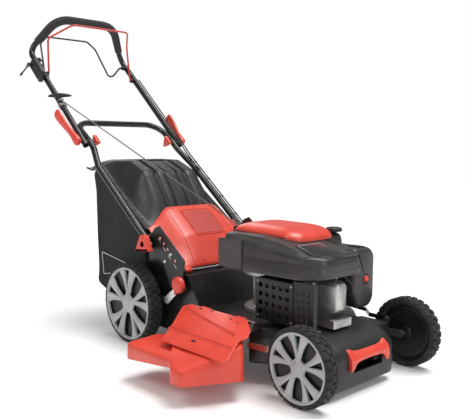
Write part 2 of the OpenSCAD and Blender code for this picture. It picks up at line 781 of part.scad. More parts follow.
pulley_z = 128;
module blade_mount() {
    color("#6a6a6a") translate([axis_x, 0, 0]) {
        difference() {
            union() {
                translate([0, 0, blade_z + 4]) cylinder(h = 34, r = 22);
                translate([0, 0, blade_z + 4]) cylinder(h = 5, r = 38);
                translate([0, 0, pulley_z - 9]) cylinder(h = 4, r = 32);
                translate([0, 0, pulley_z - 6]) cylinder(h = 12, r = 24);
                translate([0, 0, pulley_z + 5]) cylinder(h = 4, r = 32);
            }
            translate([0, 0, 82]) cylinder(h = 80, r = 12.5);
            translate([0, 0, blade_z]) cylinder(h = 20, r = 5);
        }
        translate([0, 0, blade_z - 4]) cylinder(h = 4, r = 17);
        translate([0, 0, blade_z - 10]) cylinder(h = 7, r = 10, $fn = 6);
        translate([0, 0, blade_z - 4]) cylinder(h = 12, r = 5);
    }
}

module blade() {
    color("#a8a8a8") translate([axis_x, 0, blade_z]) difference() {
        union() {
            box([-blade_l / 2 + 4, -26, 0], [blade_l / 2 - 4, 26, 4]);
            for (s = [0, 180]) rotate(s) translate([150, 8, 3]) rotate([28, 0, 0])
                cube([60, 18, 3]);
        }
        translate([0, 0, -5]) cylinder(h = 20, r = 5);
        difference() {
            translate([0, 0, -5]) cylinder(h = 40, r = 400);
            translate([0, 0, -6]) cylinder(h = 42, r = blade_l / 2);
        }
    }
}

gear_at = [-700, 120];
module belt_loop(grow) {
    a = [axis_x, 0];
    d = unit(gear_at - a);
    n = [-d.y, d.x];
    translate(a) circle(24.4 + grow);
    translate(gear_at) circle(24.4 + grow);
    half = 24.3 + grow;
    polygon([a + half * n, gear_at + half * n, gear_at - half * n, a - half * n]);
}

module drive_belt() {
    color("#151515") translate([0, 0, pulley_z - 4]) linear_extrude(8) difference() {
        belt_loop(7);
        belt_loop(0);
    }
}

module gearbox() {
    color("#8f9090") difference() {
        union() {
            box([-790, 90, 100], [-735, 150, 158]);
            box([-740, 98, 100], [-680, 142, 118]);
            translate([gear_at.x, gear_at.y, 117]) cylinder(h = 22, r = 24);
        }
        y_rod(rear_pivot, 60, 170, rod_r + run_gap);
    }
}

// ---------- Grass bag ----------

bag_outline = [[-700, 205], [-845, 176], [-930, 126], [-985, 148], [-978, 200], [-990, 470],
               [-1006, 528], [-985, 548], [-700, 352]];
bag_inner = [[-690, 211], [-846, 181], [-930, 132], [-980, 151], [-974, 200], [-986, 469],
             [-1001, 526], [-985, 543], [-690, 340]];

module bag_fabric() {
    color("#1d1d1d") difference() {
        xz_plate(bag_outline, -bag_half, bag_half);
        xz_plate(bag_inner, -bag_half + bag_t, bag_half - bag_t);
    }
}

lid_side = [[-1012, 530], [-1012, 538], [-985, 556], [-694, 356], [-694, 350]];
lid_under = [[-1012, 530], [-985, 549], [-694, 350]];
lid_crown = [[-1052, 556], [-1052, 572], [-1000, 578], [-900, 576], [-812, 540], [-748, 452],
             [-694, 366], [-694, 351], [-985, 549.5], [-1012, 531]];
lid_hollow = [[-1047, 560], [-1000, 573], [-902, 571], [-816, 536], [-753, 450], [-700, 366],
              [-698, 350], [-985, 545], [-1012, 528]];

module bag_lid() {
    color("#2e2e2e") {
        difference() {
            union() {
                xz_plate([[-1012, 531], [-1012, 540], [-985, 560], [-694, 362], [-694, 351],
                          [-985, 549.5]], -bag_half, bag_half);
                hull() {
                    xz_plate(lid_crown, -120, 120);
                    xz_plate([[-1012, 531], [-985, 560], [-700, 366], [-700, 352]], -158, 158);
                }
            }
            hull() {
                xz_plate(lid_hollow, -116, 116);
                xz_plate([[-1010, 529], [-985, 554], [-704, 362], [-704, 340]], -152, 152);
            }
            xz_plate([[-1100, 400], [-1040, 535], [-1012, 530.5], [-985, 549.3], [-680, 339.6],
                      [-680, 300]], -200, 200);
        }
    }
}

// Wire frame that holds the bag's mouth open
module bag_frame() {
    color("#888888") pipe([[-706, 176, 345], [-706, 176, 216], [-706, -176, 216],
                           [-706, -176, 345]], [12, 12], 3);
}

place() deck();
place() front_cover();
place() front_grab_handle();
place() rear_flap();
place() side_flap();
place() discharge_chute();
place() deck_fasteners();
place() handle_brackets();
place() handle_locks();
place() washout_port();
place() front_axle();
place() rear_axle();
place() front_bearings();
place() rear_bearings();
place() height_lever();
place() height_knob();
place() height_link();
place() front_wheel(true);  // wheel_front_left
place() front_wheel(false);  // wheel_front_right
place() rear_wheel(true);  // wheel_rear_left
place() rear_wheel(false);  // wheel_rear_right
place() front_hubcap(true);  // hubcap_front_left
place() front_hubcap(false);  // hubcap_front_right
place() rear_hubcap(true);  // hubcap_rear_left
place() rear_hubcap(false);  // hubcap_rear_right
place() lower_handle();
place() upper_handle();
place() foam_grip();
place() cam_lever_left();
place() cam_lever_right();
place() clamp_bolts();
place() control_box();
place() opc_bail();
place() drive_bail();
place() throttle_lever();
place() starter_grip();
place() rope_guide();
place() starter_rope();
place() brake_cable();
place() drive_cable();
place() cable_clips();
place() engine_block();
place() rocker_cover();
place() engine_cowl();
place() top_cover();
place() fuel_cap();
place() dipstick();
place() air_filter_cover();
place() primer_bulb();
place() muffler();
place() muffler_guard();
place() flywheel();
place() crankshaft();
place() blade_mount();
place() blade();
place() drive_belt();
place() gearbox();
place() bag_fabric();
place() bag_lid();
place() bag_frame();
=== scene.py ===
"""Rotary lawn mower: camera, light, materials and the detailed pieces that ride on the CAD frame."""

from math import cos, pi, radians, sin, tau

import bmesh
import bpy
from mathutils import Matrix, Vector


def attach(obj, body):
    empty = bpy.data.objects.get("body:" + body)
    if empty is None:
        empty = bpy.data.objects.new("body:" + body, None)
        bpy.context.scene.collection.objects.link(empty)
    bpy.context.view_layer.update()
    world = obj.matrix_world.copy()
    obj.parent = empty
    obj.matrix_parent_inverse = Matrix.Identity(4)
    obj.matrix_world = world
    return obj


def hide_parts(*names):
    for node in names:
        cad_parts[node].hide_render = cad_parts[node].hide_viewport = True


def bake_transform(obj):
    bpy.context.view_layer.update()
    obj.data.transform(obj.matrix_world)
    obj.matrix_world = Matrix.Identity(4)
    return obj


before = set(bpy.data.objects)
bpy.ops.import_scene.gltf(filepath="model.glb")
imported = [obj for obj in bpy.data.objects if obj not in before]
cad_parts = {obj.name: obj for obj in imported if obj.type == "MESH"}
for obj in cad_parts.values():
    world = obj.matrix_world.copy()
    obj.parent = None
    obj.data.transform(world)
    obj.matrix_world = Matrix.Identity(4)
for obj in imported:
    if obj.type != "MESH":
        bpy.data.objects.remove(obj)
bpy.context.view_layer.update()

# Everything below is written in the mower's own millimetres: X forward from the front axle,
# Y to the left, Z up from the ground. The row's origin lies here in them.
ROW_ORIGIN = Vector((-698.75, -103.5, 0))
CLAMP = Vector((-1031, 0, 640))
UPPER_BEND = Vector((-1417, 207.5, 985))
UPPER_CORNER = Vector((-1344, 125, 1106))
UPPER_Y = 207.5
LOWER_PIVOT = Vector((-650, 0, 324))
UPPER_DIR = Vector((UPPER_BEND.x - CLAMP.x, 0, UPPER_BEND.z - CLAMP.z)).normalized()
UPPER_UP = Vector((UPPER_DIR.z, 0, -UPPER_DIR.x))
AXIS_X = -300
UP = (0, 0, 1)
FORWARD = (1, 0, 0)
BRACKET_Y = 196
FLAP_HINGE = Vector((-530, 0, 250))
SIDE_HINGE = Vector((-270, -243, 180))


def at(x, y, z):
    """A point of the mower, in the row's metres."""
    return (Vector((x, y, z)) - ROW_ORIGIN) / 1000


def tube_point(x, y=0):
    """A point on the upper handle's leg, by its x."""
    return Vector((x, y, CLAMP.z + (x - CLAMP.x) * UPPER_DIR.z / UPPER_DIR.x))


# ---------------------------------------------------------------- camera and light

CAMERA_AT = (1015.7, -1431.3, 637.8)
CAMERA_AZIMUTH = radians(46.39)
CAMERA_ELEVATION = radians(5.714)
CAMERA_ROLL = radians(0.465)
CAMERA_LENS = 51.13


def make_camera():
    data = bpy.data.cameras.new("camera")
    data.lens = CAMERA_LENS
    data.sensor_width = 36
    camera = bpy.data.objects.new("camera", data)
    bpy.context.collection.objects.link(camera)
    back = Vector((sin(CAMERA_AZIMUTH) * cos(CAMERA_ELEVATION),
                   -cos(CAMERA_AZIMUTH) * cos(CAMERA_ELEVATION), sin(CAMERA_ELEVATION)))
    right = (-back).cross(Vector((0, 0, 1))).normalized()
    up = right.cross(-back)
    c, s = cos(CAMERA_ROLL), sin(CAMERA_ROLL)
    right, up = c * right + s * up, -s * right + c * up
    turn = Matrix((right, up, back)).transposed().to_4x4()
    camera.matrix_world = Matrix.Translation(at(*CAMERA_AT)) @ turn
    bpy.context.scene.camera = camera


def area_light(name, place, aim, size, power):
    data = bpy.data.lights.new(name, "AREA")
    data.size = size
    data.energy = power
    light = bpy.data.objects.new(name, data)
    bpy.context.collection.objects.link(light)
    light.location = place
    light.rotation_euler = (Vector(aim) - Vector(place)).to_track_quat("-Z", "Y").to_euler()


def make_studio():
    scene = bpy.context.scene
    scene.view_settings.view_transform = "Standard"
    world = bpy.data.worlds.new("studio")
    scene.world = world
    world.use_nodes = True
    background = world.node_tree.nodes["Background"]
    background.inputs["Color"].default_value = (1, 1, 1, 1)
    background.inputs["Strength"].default_value = 0.30
    tree = world.node_tree
    backdrop = tree.nodes.new("ShaderNodeBackground")
    backdrop.inputs["Color"].default_value = (1, 1, 1, 1)
    seen = tree.nodes.new("ShaderNodeLightPath")
    mix = tree.nodes.new("ShaderNodeMixShader")
    tree.links.new(seen.outputs["Is Camera Ray"], mix.inputs["Fac"])
    tree.links.new(background.outputs["Background"], mix.inputs[1])
    tree.links.new(backdrop.outputs["Background"], mix.inputs[2])
    tree.links.new(mix.outputs["Shader"], tree.nodes["World Output"].inputs["Surface"])
    aim = (0.1, 0.05, 0.35)
    sun_data = bpy.data.lights.new("overhead", "SUN")
    sun_data.energy = 2.55
    sun_data.angle = radians(34)
    sun = bpy.data.objects.new("overhead", sun_data)
    bpy.context.collection.objects.link(sun)
    sun.rotation_euler = (radians(-14), radians(10), 0)
    area_light("key", (0.2, -2.4, 3.3), aim, 1.6, 34)
    area_light("front", (3.4, -0.4, 1.6), aim, 1.2, 20)
    area_light("rim", (-2.8, 1.8, 2.2), aim, 1.5, 20)
    floor_mesh = bpy.data.meshes.new("floor")
    half = 30
    floor_mesh.from_pydata([(-half, -half, 0), (half, -half, 0), (half, half, 0), (-half, half, 0)],
                           [], [(0, 1, 2, 3)])
    floor = bpy.data.objects.new("floor", floor_mesh)
    bpy.context.collection.objects.link(floor)
    floor.location.z = -0.0005
    material, shader, tree = new_material("studio_floor", (0.93, 0.92, 0.91), 0.9)
    shader.inputs["Emission Color"].default_value = (1, 1, 1, 1)
    shader.inputs["Emission Strength"].default_value = 0.06
    floor_mesh.materials.append(material)


# ---------------------------------------------------------------- materials


def grey(value):
    return (value, value, value)


def new_material(name, colour, roughness, metallic=0.0):
    material = bpy.data.materials.new(name)
    material.use_nodes = True
    tree = material.node_tree
    shader = tree.nodes["Principled BSDF"]
    shader.inputs["Base Color"].default_value = (*colour, 1)
    shader.inputs["Roughness"].default_value = roughness
    shader.inputs["Metallic"].default_value = metallic
    return material, shader, tree


def object_coordinates(tree, stretch=(1, 1, 1)):
    coordinates = tree.nodes.new("ShaderNodeTexCoord")
    mapping = tree.nodes.new("ShaderNodeMapping")
    mapping.inputs["Scale"].default_value = stretch
    tree.links.new(coordinates.outputs["Object"], mapping.inputs["Vector"])
    return mapping.outputs["Vector"]


def noise(tree, vector, scale, detail=3.0):
    node = tree.nodes.new("ShaderNodeTexNoise")
    node.inputs["Scale"].default_value = scale
    node.inputs["Detail"].default_value = detail
    tree.links.new(vector, node.inputs["Vector"])
    return node.outputs["Fac"]


def spread(tree, value, low, high, out_low, out_high):
    """value's range low to high, laid over out_low to out_high."""
    node = tree.nodes.new("ShaderNodeMapRange")
    for name, number in (("From Min", low), ("From Max", high), ("To Min", out_low), ("To Max", out_high)):
        node.inputs[name].default_value = number
    tree.links.new(value, node.inputs["Value"])
    return node.outputs["Result"]


def vary_colour(tree, shader, value, dark, light):
    mix = tree.nodes.new("ShaderNodeMix")
    mix.data_type = "RGBA"
    mix.inputs["A"].default_value = (*dark, 1)
    mix.inputs["B"].default_value = (*light, 1)
    tree.links.new(value, mix.inputs["Factor"])
    tree.links.new(mix.outputs["Result"], shader.inputs["Base Color"])
    return mix


def bump(tree, shader, height, strength, distance):
    node = tree.nodes.new("ShaderNodeBump")
    node.inputs["Strength"].default_value = strength
    node.inputs["Distance"].default_value = distance
    tree.links.new(height, node.inputs["Height"])
    tree.links.new(node.outputs["Normal"], shader.inputs["Normal"])
    return node


def moulded(name, dark, light, roughness, grain, coat=0.0):
    """Moulded plastic: slow change of colour and a fine grain."""
    material, shader, tree = new_material(name, light, roughness)
    vector = object_coordinates(tree)
    vary_colour(tree, shader, spread(tree, noise(tree, vector, 14), 0.35, 0.65, 0, 1), dark, light)
    gloss = spread(tree, noise(tree, vector, 45), 0.3, 0.7, roughness - 0.06, roughness + 0.08)
    tree.links.new(gloss, shader.inputs["Roughness"])
    bump(tree, shader, noise(tree, vector, grain, 2), 0.18, 0.0004)
    shader.inputs["Coat Weight"].default_value = coat
    shader.inputs["Coat Roughness"].default_value = 0.2
    return material


def metal(name, dark, light, roughness, stretch=(1, 1, 1), grain=900.0, metallic=1.0, strength=0.15):
    material, shader, tree = new_material(name, light, roughness, metallic)
    vector = object_coordinates(tree, stretch)
    streaks = noise(tree, vector, grain, 2)
    vary_colour(tree, shader, spread(tree, noise(tree, vector, 25), 0.35, 0.65, 0, 1), dark, light)
    tree.links.new(spread(tree, streaks, 0.3, 0.7, roughness - 0.08, roughness + 0.1),
                   shader.inputs["Roughness"])
    bump(tree, shader, streaks, strength, 0.0003)
    return material


def tyre_rubber(name):
    """Rubber with pale dust in its rougher patches."""
    material, shader, tree = new_material(name, (0.03, 0.029, 0.028), 0.8)
    vector = object_coordinates(tree)
    dust = spread(tree, noise(tree, vector, 30, 6), 0.45, 0.75, 0, 1)
    vary_colour(tree, shader, dust, (0.014, 0.014, 0.013), (0.040, 0.038, 0.036))
    bump(tree, shader, noise(tree, vector, 700, 3), 0.3, 0.0005)
    return material


def foam(name):
    material, shader, tree = new_material(name, (0.028, 0.027, 0.027), 0.92)
    cells = tree.nodes.new("ShaderNodeTexVoronoi")
    cells.inputs["Scale"].default_value = 650
    tree.links.new(object_coordinates(tree), cells.inputs["Vector"])
    vary_colour(tree, shader, cells.outputs["Distance"], grey(0.018), (0.05, 0.048, 0.047))
    bump(tree, shader, cells.outputs["Distance"], 0.5, 0.0006)
    return material


def calculate(tree, operation, *values):
    node = tree.nodes.new("ShaderNodeMath")
    node.operation = operation
    for socket, value in zip(node.inputs, values):
        if isinstance(value, float):
            socket.default_value = value
        else:
            tree.links.new(value, socket)
    return node.outputs["Value"]


def woven(name, dark, light, threads_per_metre):
    """Plain weave, made of crossed waves."""
    material, shader, tree = new_material(name, light, 0.85)
    vector = object_coordinates(tree)
    separate = tree.nodes.new("ShaderNodeSeparateXYZ")
    tree.links.new(vector, separate.inputs["Vector"])
    waves = [calculate(tree, "SINE", calculate(tree, "MULTIPLY", separate.outputs[axis],
                                               tau * threads_per_metre)) for axis in "XYZ"]
    total = calculate(tree, "ADD", calculate(tree, "ADD", waves[0], waves[1]), waves[2])
    patches = noise(tree, vector, 9, 4)
    vary_colour(tree, shader, spread(tree, patches, 0.35, 0.65, 0, 1), dark, light)
    bump(tree, shader, total, 0.35, 0.0004)
    shader.inputs["Sheen Weight"].default_value = 0.06
    shader.inputs["Sheen Roughness"].default_value = 0.5
    return material


def make_materials():
    return {
        "red": moulded("red_plastic", (0.66, 0.050, 0.028), (0.74, 0.066, 0.036), 0.36, 900, 0.15),
        # A darker copy of the red plastic: painted shade for grooves, the grip recess and the flap's lower
        # lip
        "red_painted_shade": moulded("red_plastic_painted_shade", (0.42, 0.030, 0.018), (0.50, 0.038, 0.022), 0.42, 900),
        "cowl": moulded("cowl_plastic", (0.030, 0.027, 0.026), (0.044, 0.040, 0.038), 0.42, 1400, 0.08),
        "black": moulded("black_plastic", grey(0.007), (0.013, 0.012, 0.012), 0.45, 1400),
        "lid": moulded("bag_lid_plastic", grey(0.007), (0.013, 0.012, 0.012), 0.46, 1100, 0.05),
        "grey": moulded("grey_plastic", (0.36, 0.37, 0.37), (0.45, 0.46, 0.46), 0.42, 1200, 0.1),
        "wheel": moulded("wheel_plastic", grey(0.005), grey(0.009), 0.42, 1200),
        "deck": metal("deck_paint", grey(0.006), (0.012, 0.011, 0.011), 0.30, grain=260,
                      metallic=0.0, strength=0.10),
        "tube": metal("tube_paint", grey(0.006), grey(0.011), 0.26, grain=300,
                      metallic=0.0, strength=0.05),
        "bracket": metal("bracket_paint", grey(0.008), grey(0.014), 0.40, grain=500,
                         metallic=0.0),
        "red_wire": metal("red_wire_coat", (0.50, 0.045, 0.030), (0.62, 0.060, 0.040), 0.30, grain=300,
                          metallic=0.0, strength=0.05),
        "steel": metal("bright_steel", grey(0.52), (0.72, 0.72, 0.71), 0.30, (1, 12, 12)),
        "zinc": metal("dull_steel", grey(0.26), (0.38, 0.38, 0.37), 0.42, (1, 8, 1)),
        "alloy": metal("cast_alloy", (0.42, 0.42, 0.41), (0.60, 0.60, 0.58), 0.40, grain=600,
                       metallic=0.85, strength=0.35),
        "iron": metal("cast_iron", grey(0.16), (0.26, 0.26, 0.25), 0.60, grain=500,
                      metallic=0.8, strength=0.4),
        "hot_steel": metal("muffler_steel", (0.20, 0.19, 0.18), (0.32, 0.30, 0.28), 0.45, grain=400),
        "guard": metal("guard_paint", grey(0.006), grey(0.011), 0.42, grain=500,
                       metallic=0.0),
        "tyre": tyre_rubber("tyre_rubber"),
        "rubber": moulded("cable_sheath", grey(0.007), grey(0.013), 0.5, 1600),
        "foam": foam("foam_grip"),
        "cord": woven("starter_cord", grey(0.10), (0.20, 0.20, 0.19), 800),
        "cloth": woven("bag_cloth", grey(0.004), (0.009, 0.009, 0.008), 420),
        "print": moulded("pale_print", grey(0.55), grey(0.68), 0.6, 1500),
        # Dark glossy film: the real label, and painted shade for the vents on the cowl and the air filter
        "label_and_vent_shade": moulded("label_film_and_vent_shade", grey(0.008), grey(0.014), 0.22, 300, 0.3),
    }


# ---------------------------------------------------------------- mesh tools


def applied(obj):
    """obj with its modifiers made part of its mesh."""
    bpy.context.view_layer.update()
    graph = bpy.context.evaluated_depsgraph_get()
    mesh = bpy.data.meshes.new_from_object(obj.evaluated_get(graph))
    old = obj.data
    obj.modifiers.clear()
    obj.data = mesh
    bpy.data.meshes.remove(old)
    return obj


def raw(name, points, faces):
    """An object from points in the mower's millimetres, its faces turned outwards."""
    mesh = bpy.data.meshes.new(name)
    mesh.from_pydata([at(*p) for p in points], [], faces)
    build = bmesh.new()
    build.from_mesh(mesh)
    bmesh.ops.remove_doubles(build, verts=build.verts, dist=1e-6)
    bmesh.ops.recalc_face_normals(build, faces=build.faces)
    build.to_mesh(mesh)
    build.free()
    obj = bpy.data.objects.new(name, mesh)
    bpy.context.collection.objects.link(obj)
    return obj


def bevelled(obj, width, segments=2, angle=28):
    modifier = obj.modifiers.new("bevel", "BEVEL")
    modifier.width = width / 1000
    modifier.segments = segments
    modifier.limit_method = "ANGLE"
    modifier.angle_limit = radians(angle)
    return applied(obj)


def subdivided(obj, levels=2):
    modifier = obj.modifiers.new("subdivide", "SUBSURF")
    modifier.levels = modifier.render_levels = levels
    return applied(obj)


def thickened(obj, thickness, offset=-1):
    modifier = obj.modifiers.new("thickness", "SOLIDIFY")
    modifier.thickness = thickness / 1000
    modifier.offset = offset
    return applied(obj)


def cut(obj, *cutters):
    for cutter in cutters:
        modifier = obj.modifiers.new("cut", "BOOLEAN")
        modifier.operation = "DIFFERENCE"
        modifier.solver = "EXACT"
        modifier.object = cutter
        applied(obj)
        bpy.data.objects.remove(cutter)
    return obj


def joined(name, parts):
    """One object from several, with their materials kept."""
    bpy.ops.object.select_all(action="DESELECT")
    for part in parts:
        part.select_set(True)
    bpy.context.view_layer.objects.active = parts[0]
    bpy.ops.object.join()
    parts[0].name = parts[0].data.name = name
    return parts[0]


def painted(obj, material):
    obj.data.materials.clear()
    obj.data.materials.append(MATERIALS[material])
    return obj


def finish(obj, material, body="chassis", *nodes, slot=None, angle=32):
    """Painted (None keeps its materials), smooth, on its body, and standing for its CAD nodes."""
    if material:
        painted(obj, material)
    obj.data.shade_smooth()
    obj.data.set_sharp_from_angle(angle=radians(angle))
    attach(obj, body)
    if nodes:
        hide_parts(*nodes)


def rings_mesh(name, rings, closed=True, ends=True, loop=False):
    """A skin over rings of points, each ring with as many points."""
    count = len(rings[0])
    points = [p for ring in rings for p in ring]
    faces = []
    span = count if closed else count - 1
    last = len(rings) if loop else len(rings) - 1
    for i in range(last):
        j = (i + 1) % len(rings)
        for k in range(span):
            m = (k + 1) % count
            faces.append((i * count + k, i * count + m, j * count + m, j * count + k))
    if ends and closed and not loop:
        faces.append(tuple(range(count)))
        faces.append(tuple((len(rings) - 1) * count + k for k in range(count)))
    return raw(name, points, faces)


def sheet_mesh(name, rows):
    return rings_mesh(name, rows, closed=False, ends=False)


def in_xz(a, b, c):
    return (a, c, b)


def in_xy(a, b, c):
    return (a, b, c)


def in_yz(a, b, c):
    return (c, a, b)


def prism(name, outline, low, high, place=in_xz):
    """A plate: a flat outline, drawn out from low to high along the third axis."""
    return rings_mesh(name, [[place(a, b, c) for a, b in outline] for c in (low, high)])


def block(name, low, high):
    outline = [(low[0], low[1]), (high[0], low[1]), (high[0], high[1]), (low[0], high[1])]
    return prism(name, outline, low[2], high[2], in_xy)


def frame_of(direction):
    """Two directions square to direction, and to each other."""
    direction = Vector(direction).normalized()
    side = direction.cross(Vector((0, 0, 1)) if abs(direction.z) < 0.9 else Vector((1, 0, 0)))
    side.normalize()
    return side, side.cross(direction)


def disc(name, centre, direction, profile, steps=48):
    """A turned piece: profile is pairs of radius and distance along direction."""
    centre, direction = Vector(centre), Vector(direction).normalized()
    a, b = frame_of(direction)
    rings = []
    for i in range(steps):
        turn = tau * i / steps
        out = cos(turn) * a + sin(turn) * b
        rings.append([tuple(centre + r * out + d * direction) for r, d in profile])
    return rings_mesh(name, rings, closed=False, loop=True)


def rounded_route(route, radius, steps=6):
    """The route's points, with each corner turned into an arc."""
    route = [Vector(p) for p in route]
    out = [route[0]]
    for before, corner, after in zip(route, route[1:], route[2:]):
        a, b = (before - corner), (after - corner)
        reach = min(radius, 0.45 * a.length, 0.45 * b.length)
        start, end = corner + a.normalized() * reach, corner + b.normalized() * reach
        for i in range(steps + 1):
            t = i / steps
            out.append((1 - t) ** 2 * start + 2 * t * (1 - t) * corner + t * t * end)
    out.append(route[-1])
    return out


def sweep(name, route, radius, steps=16, caps=True):
    """A round bar along a route; radius is one number or one for each point."""
    route = [Vector(p) for p in route]
    radii = radius if isinstance(radius, (list, tuple)) else [radius] * len(route)
    side = None
    rings = []
    for i, point in enumerate(route):
        ahead = route[min(i + 1, len(route) - 1)] - route[max(i - 1, 0)]
        ahead.normalize()
        if side is None:
            side = frame_of(ahead)[0]
        side = (side - side.dot(ahead) * ahead).normalized()
        up = ahead.cross(side)
        rings.append([tuple(point + radii[i] * (cos(tau * k / steps) * side + sin(tau * k / steps) * up))
                      for k in range(steps)])
    return rings_mesh(name, rings, ends=caps)


# ---------------------------------------------------------------- wheels

# name, body, side (+1 is left), hub, radius, width, outer face, cap radius, lugs round the tread
WHEELS = [
    ("front_left", "front_left_wheel", 1, (0, 100), 100, 45, 256, 88.5, 28),
    ("front_right", "front_right_wheel", -1, (0, 100), 100, 45, 256, 88.5, 28),
    ("rear_left", "rear_left_wheel", 1, (-718, 127.5), 127.5, 52, 250, 115.5, 34),
    ("rear_right", "rear_right_wheel", -1, (-718, 127.5), 127.5, 52, 250, 115.5, 34),
]
# Where a lug's steep edges fall along its pitch
LUG_STEPS = (0.0, 0.14, 0.17, 0.47, 0.50, 0.64, 0.67, 0.97)
LUG_DEPTH = 3.4


def lug_height(step, row):
    """0 on top of a lug, 1 in the groove; odd rows are half a pitch on."""
    place = (step + 0.5 * (row % 2)) % 1
    return 0 if place < 0.655 or place > 0.985 else 1


def wheel_point(wheel, radius, turn, across):
    _, _, side, hub, _, width, face, _, _ = wheel
    return (hub[0] + radius * cos(turn), side * (face - width + across), hub[1] + radius * sin(turn))


def make_tyre(wheel):
    name, body, _, _, radius, width, _, _, lugs = wheel
    wide = width - 2
    # place across, radius, row of lugs (None is never grooved)
    section = [(1, radius - 17, None), (0, radius - 14, None), (0, radius - 7, None),
               (1.5, radius - 3.5, 0), (4.5, radius, 0), (wide * 0.30, radius, 0),
               (wide * 0.33, radius - 2.6, None), (wide * 0.35, radius, 1), (wide * 0.62, radius, 1),
               (wide * 0.65, radius - 2.6, None), (wide * 0.67, radius, 2), (wide - 4.5, radius, 2),
               (wide - 1.5, radius - 3.5, 2), (wide, radius - 7, None), (wide, radius - 10.5, None),
               (wide - 3, radius - 12.5, None), (wide - 12, radius - 14, None)]
    rings = []
    for lug in range(lugs):
        for step in LUG_STEPS:
            ring = []
            for across, r, row in section:
                slant = 0.16 * abs(across / wide - 0.5)
                turn = tau * (lug + step + slant) / lugs
                low = LUG_DEPTH * lug_height(step, row) if row is not None else 0
                ring.append(wheel_point(wheel, r - low, turn, across))
            rings.append(ring)
    tread = painted(rings_mesh(f"tyre_{name}", rings, closed=False, loop=True), "tyre")
    back = [(12, 1.5), (21, 1.5), (23, 4), (24, 9), (radius * 0.55, 10), (radius * 0.57, 8.5),
            (radius * 0.72, 8.5), (radius * 0.74, 10), (radius - 24, 9.5), (radius - 18, 2),
            (radius - 16.5, 0.6)]
    front = [(radius - 13.5, wide - 12), (radius * 0.80, wide - 14), (radius * 0.35, wide - 17),
             (24, wide - 16), (12, wide - 11)]
    rings = [[wheel_point(wheel, r, tau * i / 72, a) for r, a in back + front] for i in range(72)]
    disc_piece = painted(rings_mesh(f"disc_{name}", rings, closed=True, loop=True), "wheel")
    finish(joined(f"wheel_body_{name}", [tread, disc_piece]),
           None, body, f"wheel_{name}", slot="tyre", angle=30)


def make_hubcap(wheel):
    name, body, _, _, _, width, _, cap, _ = wheel
    top = width - 1.2
    section = [(cap - 8, top - 10), (cap - 1, top - 10), (cap, top - 5), (cap - 0.8, top - 1),
               (cap - 2, top), (cap - 5, top), (cap - 6.5, top - 1.5), (cap - 8, top - 4)]
    rings = [[wheel_point(wheel, r, tau * i / 96, a) for r, a in section] for i in range(96)]
    parts = [rings_mesh("ring", rings, closed=True, loop=True)]
    for lobe in range(5):
        for side in (-1, 1):
            parts.append(make_spoke(wheel, tau * lobe / 5 + radians(90), side, cap, top))
    rings = []
    for i in range(60):
        turn = tau * i / 60 + radians(90)
        lobe = 1 + 0.10 * cos(5 * (turn - radians(90)))
        rings.append([wheel_point(wheel, r * lobe, turn, a) for r, a in
                      ((cap * 0.28, top - 10), (cap * 0.28, top - 5.5), (cap * 0.26, top - 3.4),
                       (cap * 0.165, top - 2.2), (cap * 0.15, top - 0.6), (cap * 0.13, top - 0.2),
                       (0.01, top - 0.2))])
    parts.append(rings_mesh("hub", rings, closed=False, loop=True))
    finish(joined(f"hub_cap_{name}", parts), "grey", body, f"hubcap_{name}", angle=24)


def make_spoke(wheel, centre, side, cap, top):
    """One blade of a V: narrow and deep at the hub, wide and twisted flush at the ring."""
    rings = []
    steps = 9
    for i in range(steps):
        t = i / (steps - 1)
        r = cap * (0.17 + 0.79 * t)
        middle = centre + side * radians(5.5 + 10.5 * t)
        half = cap * (0.050 + 0.040 * t + 0.060 * t ** 4) / r
        near, far = middle - side * half, middle + side * half * 1.1
        crest = top - 3.5 + 2.6 * t
        rings.append([wheel_point(wheel, r, near, top - 10), wheel_point(wheel, r, near, crest - 1.2),
                      wheel_point(wheel, r, near + side * half * 0.35, crest),
                      wheel_point(wheel, r, middle + side * half * 0.25, crest - 0.4),
                      wheel_point(wheel, r, far, crest - 4.4), wheel_point(wheel, r, far, top - 10)])
    return rings_mesh("spoke", rings)


# ---------------------------------------------------------------- outline tools


def softened(outline, radius, steps=5):
    """An outline with its corners rounded."""
    out = []
    for i, corner in enumerate(outline):
        corner = Vector(corner).to_2d()
        before, after = Vector(outline[i - 1]).to_2d() - corner, \
            Vector(outline[(i + 1) % len(outline)]).to_2d() - corner
        reach = min(radius, 0.45 * before.length, 0.45 * after.length)
        a, b = corner + before.normalized() * reach, corner + after.normalized() * reach
        for k in range(steps + 1):
            t = k / steps
            p = (1 - t) ** 2 * a + 2 * t * (1 - t) * corner + t * t * b
            out.append((p.x, p.y))
    return out


def shrunk(outline, amount):
    """The outline drawn in by amount, each point along its own inward direction."""
    count = len(outline)
    area = sum(outline[i][0] * outline[(i + 1) % count][1] - outline[(i + 1) % count][0] * outline[i][1]
               for i in range(count))
    turn = 1 if area > 0 else -1
    out = []
    for i in range(count):
        a, b = Vector(outline[i - 1]), Vector(outline[(i + 1) % count])
        along = (b - a).normalized()
        out.append((outline[i][0] - turn * along.y * amount, outline[i][1] + turn * along.x * amount))
    return out


def stack(name, outline, levels, place=in_xy):
    """Rings of one outline: levels are pairs of inset and height, place puts a point in space."""
    return rings_mesh(name, [[place(a, b, h) for a, b in shrunk(outline, inset)]
                             for inset, h in levels])


def between(x, table):
    """The value at x in a table of x, value pairs."""
    if x <= table[0][0]:
        return table[0][1]
    for (x0, v0), (x1, v1) in zip(table, table[1:]):
        if x <= x1:
            return v0 + (v1 - v0) * (x - x0) / (x1 - x0)
    return table[-1][1]


CAP_EDGE = 0.016


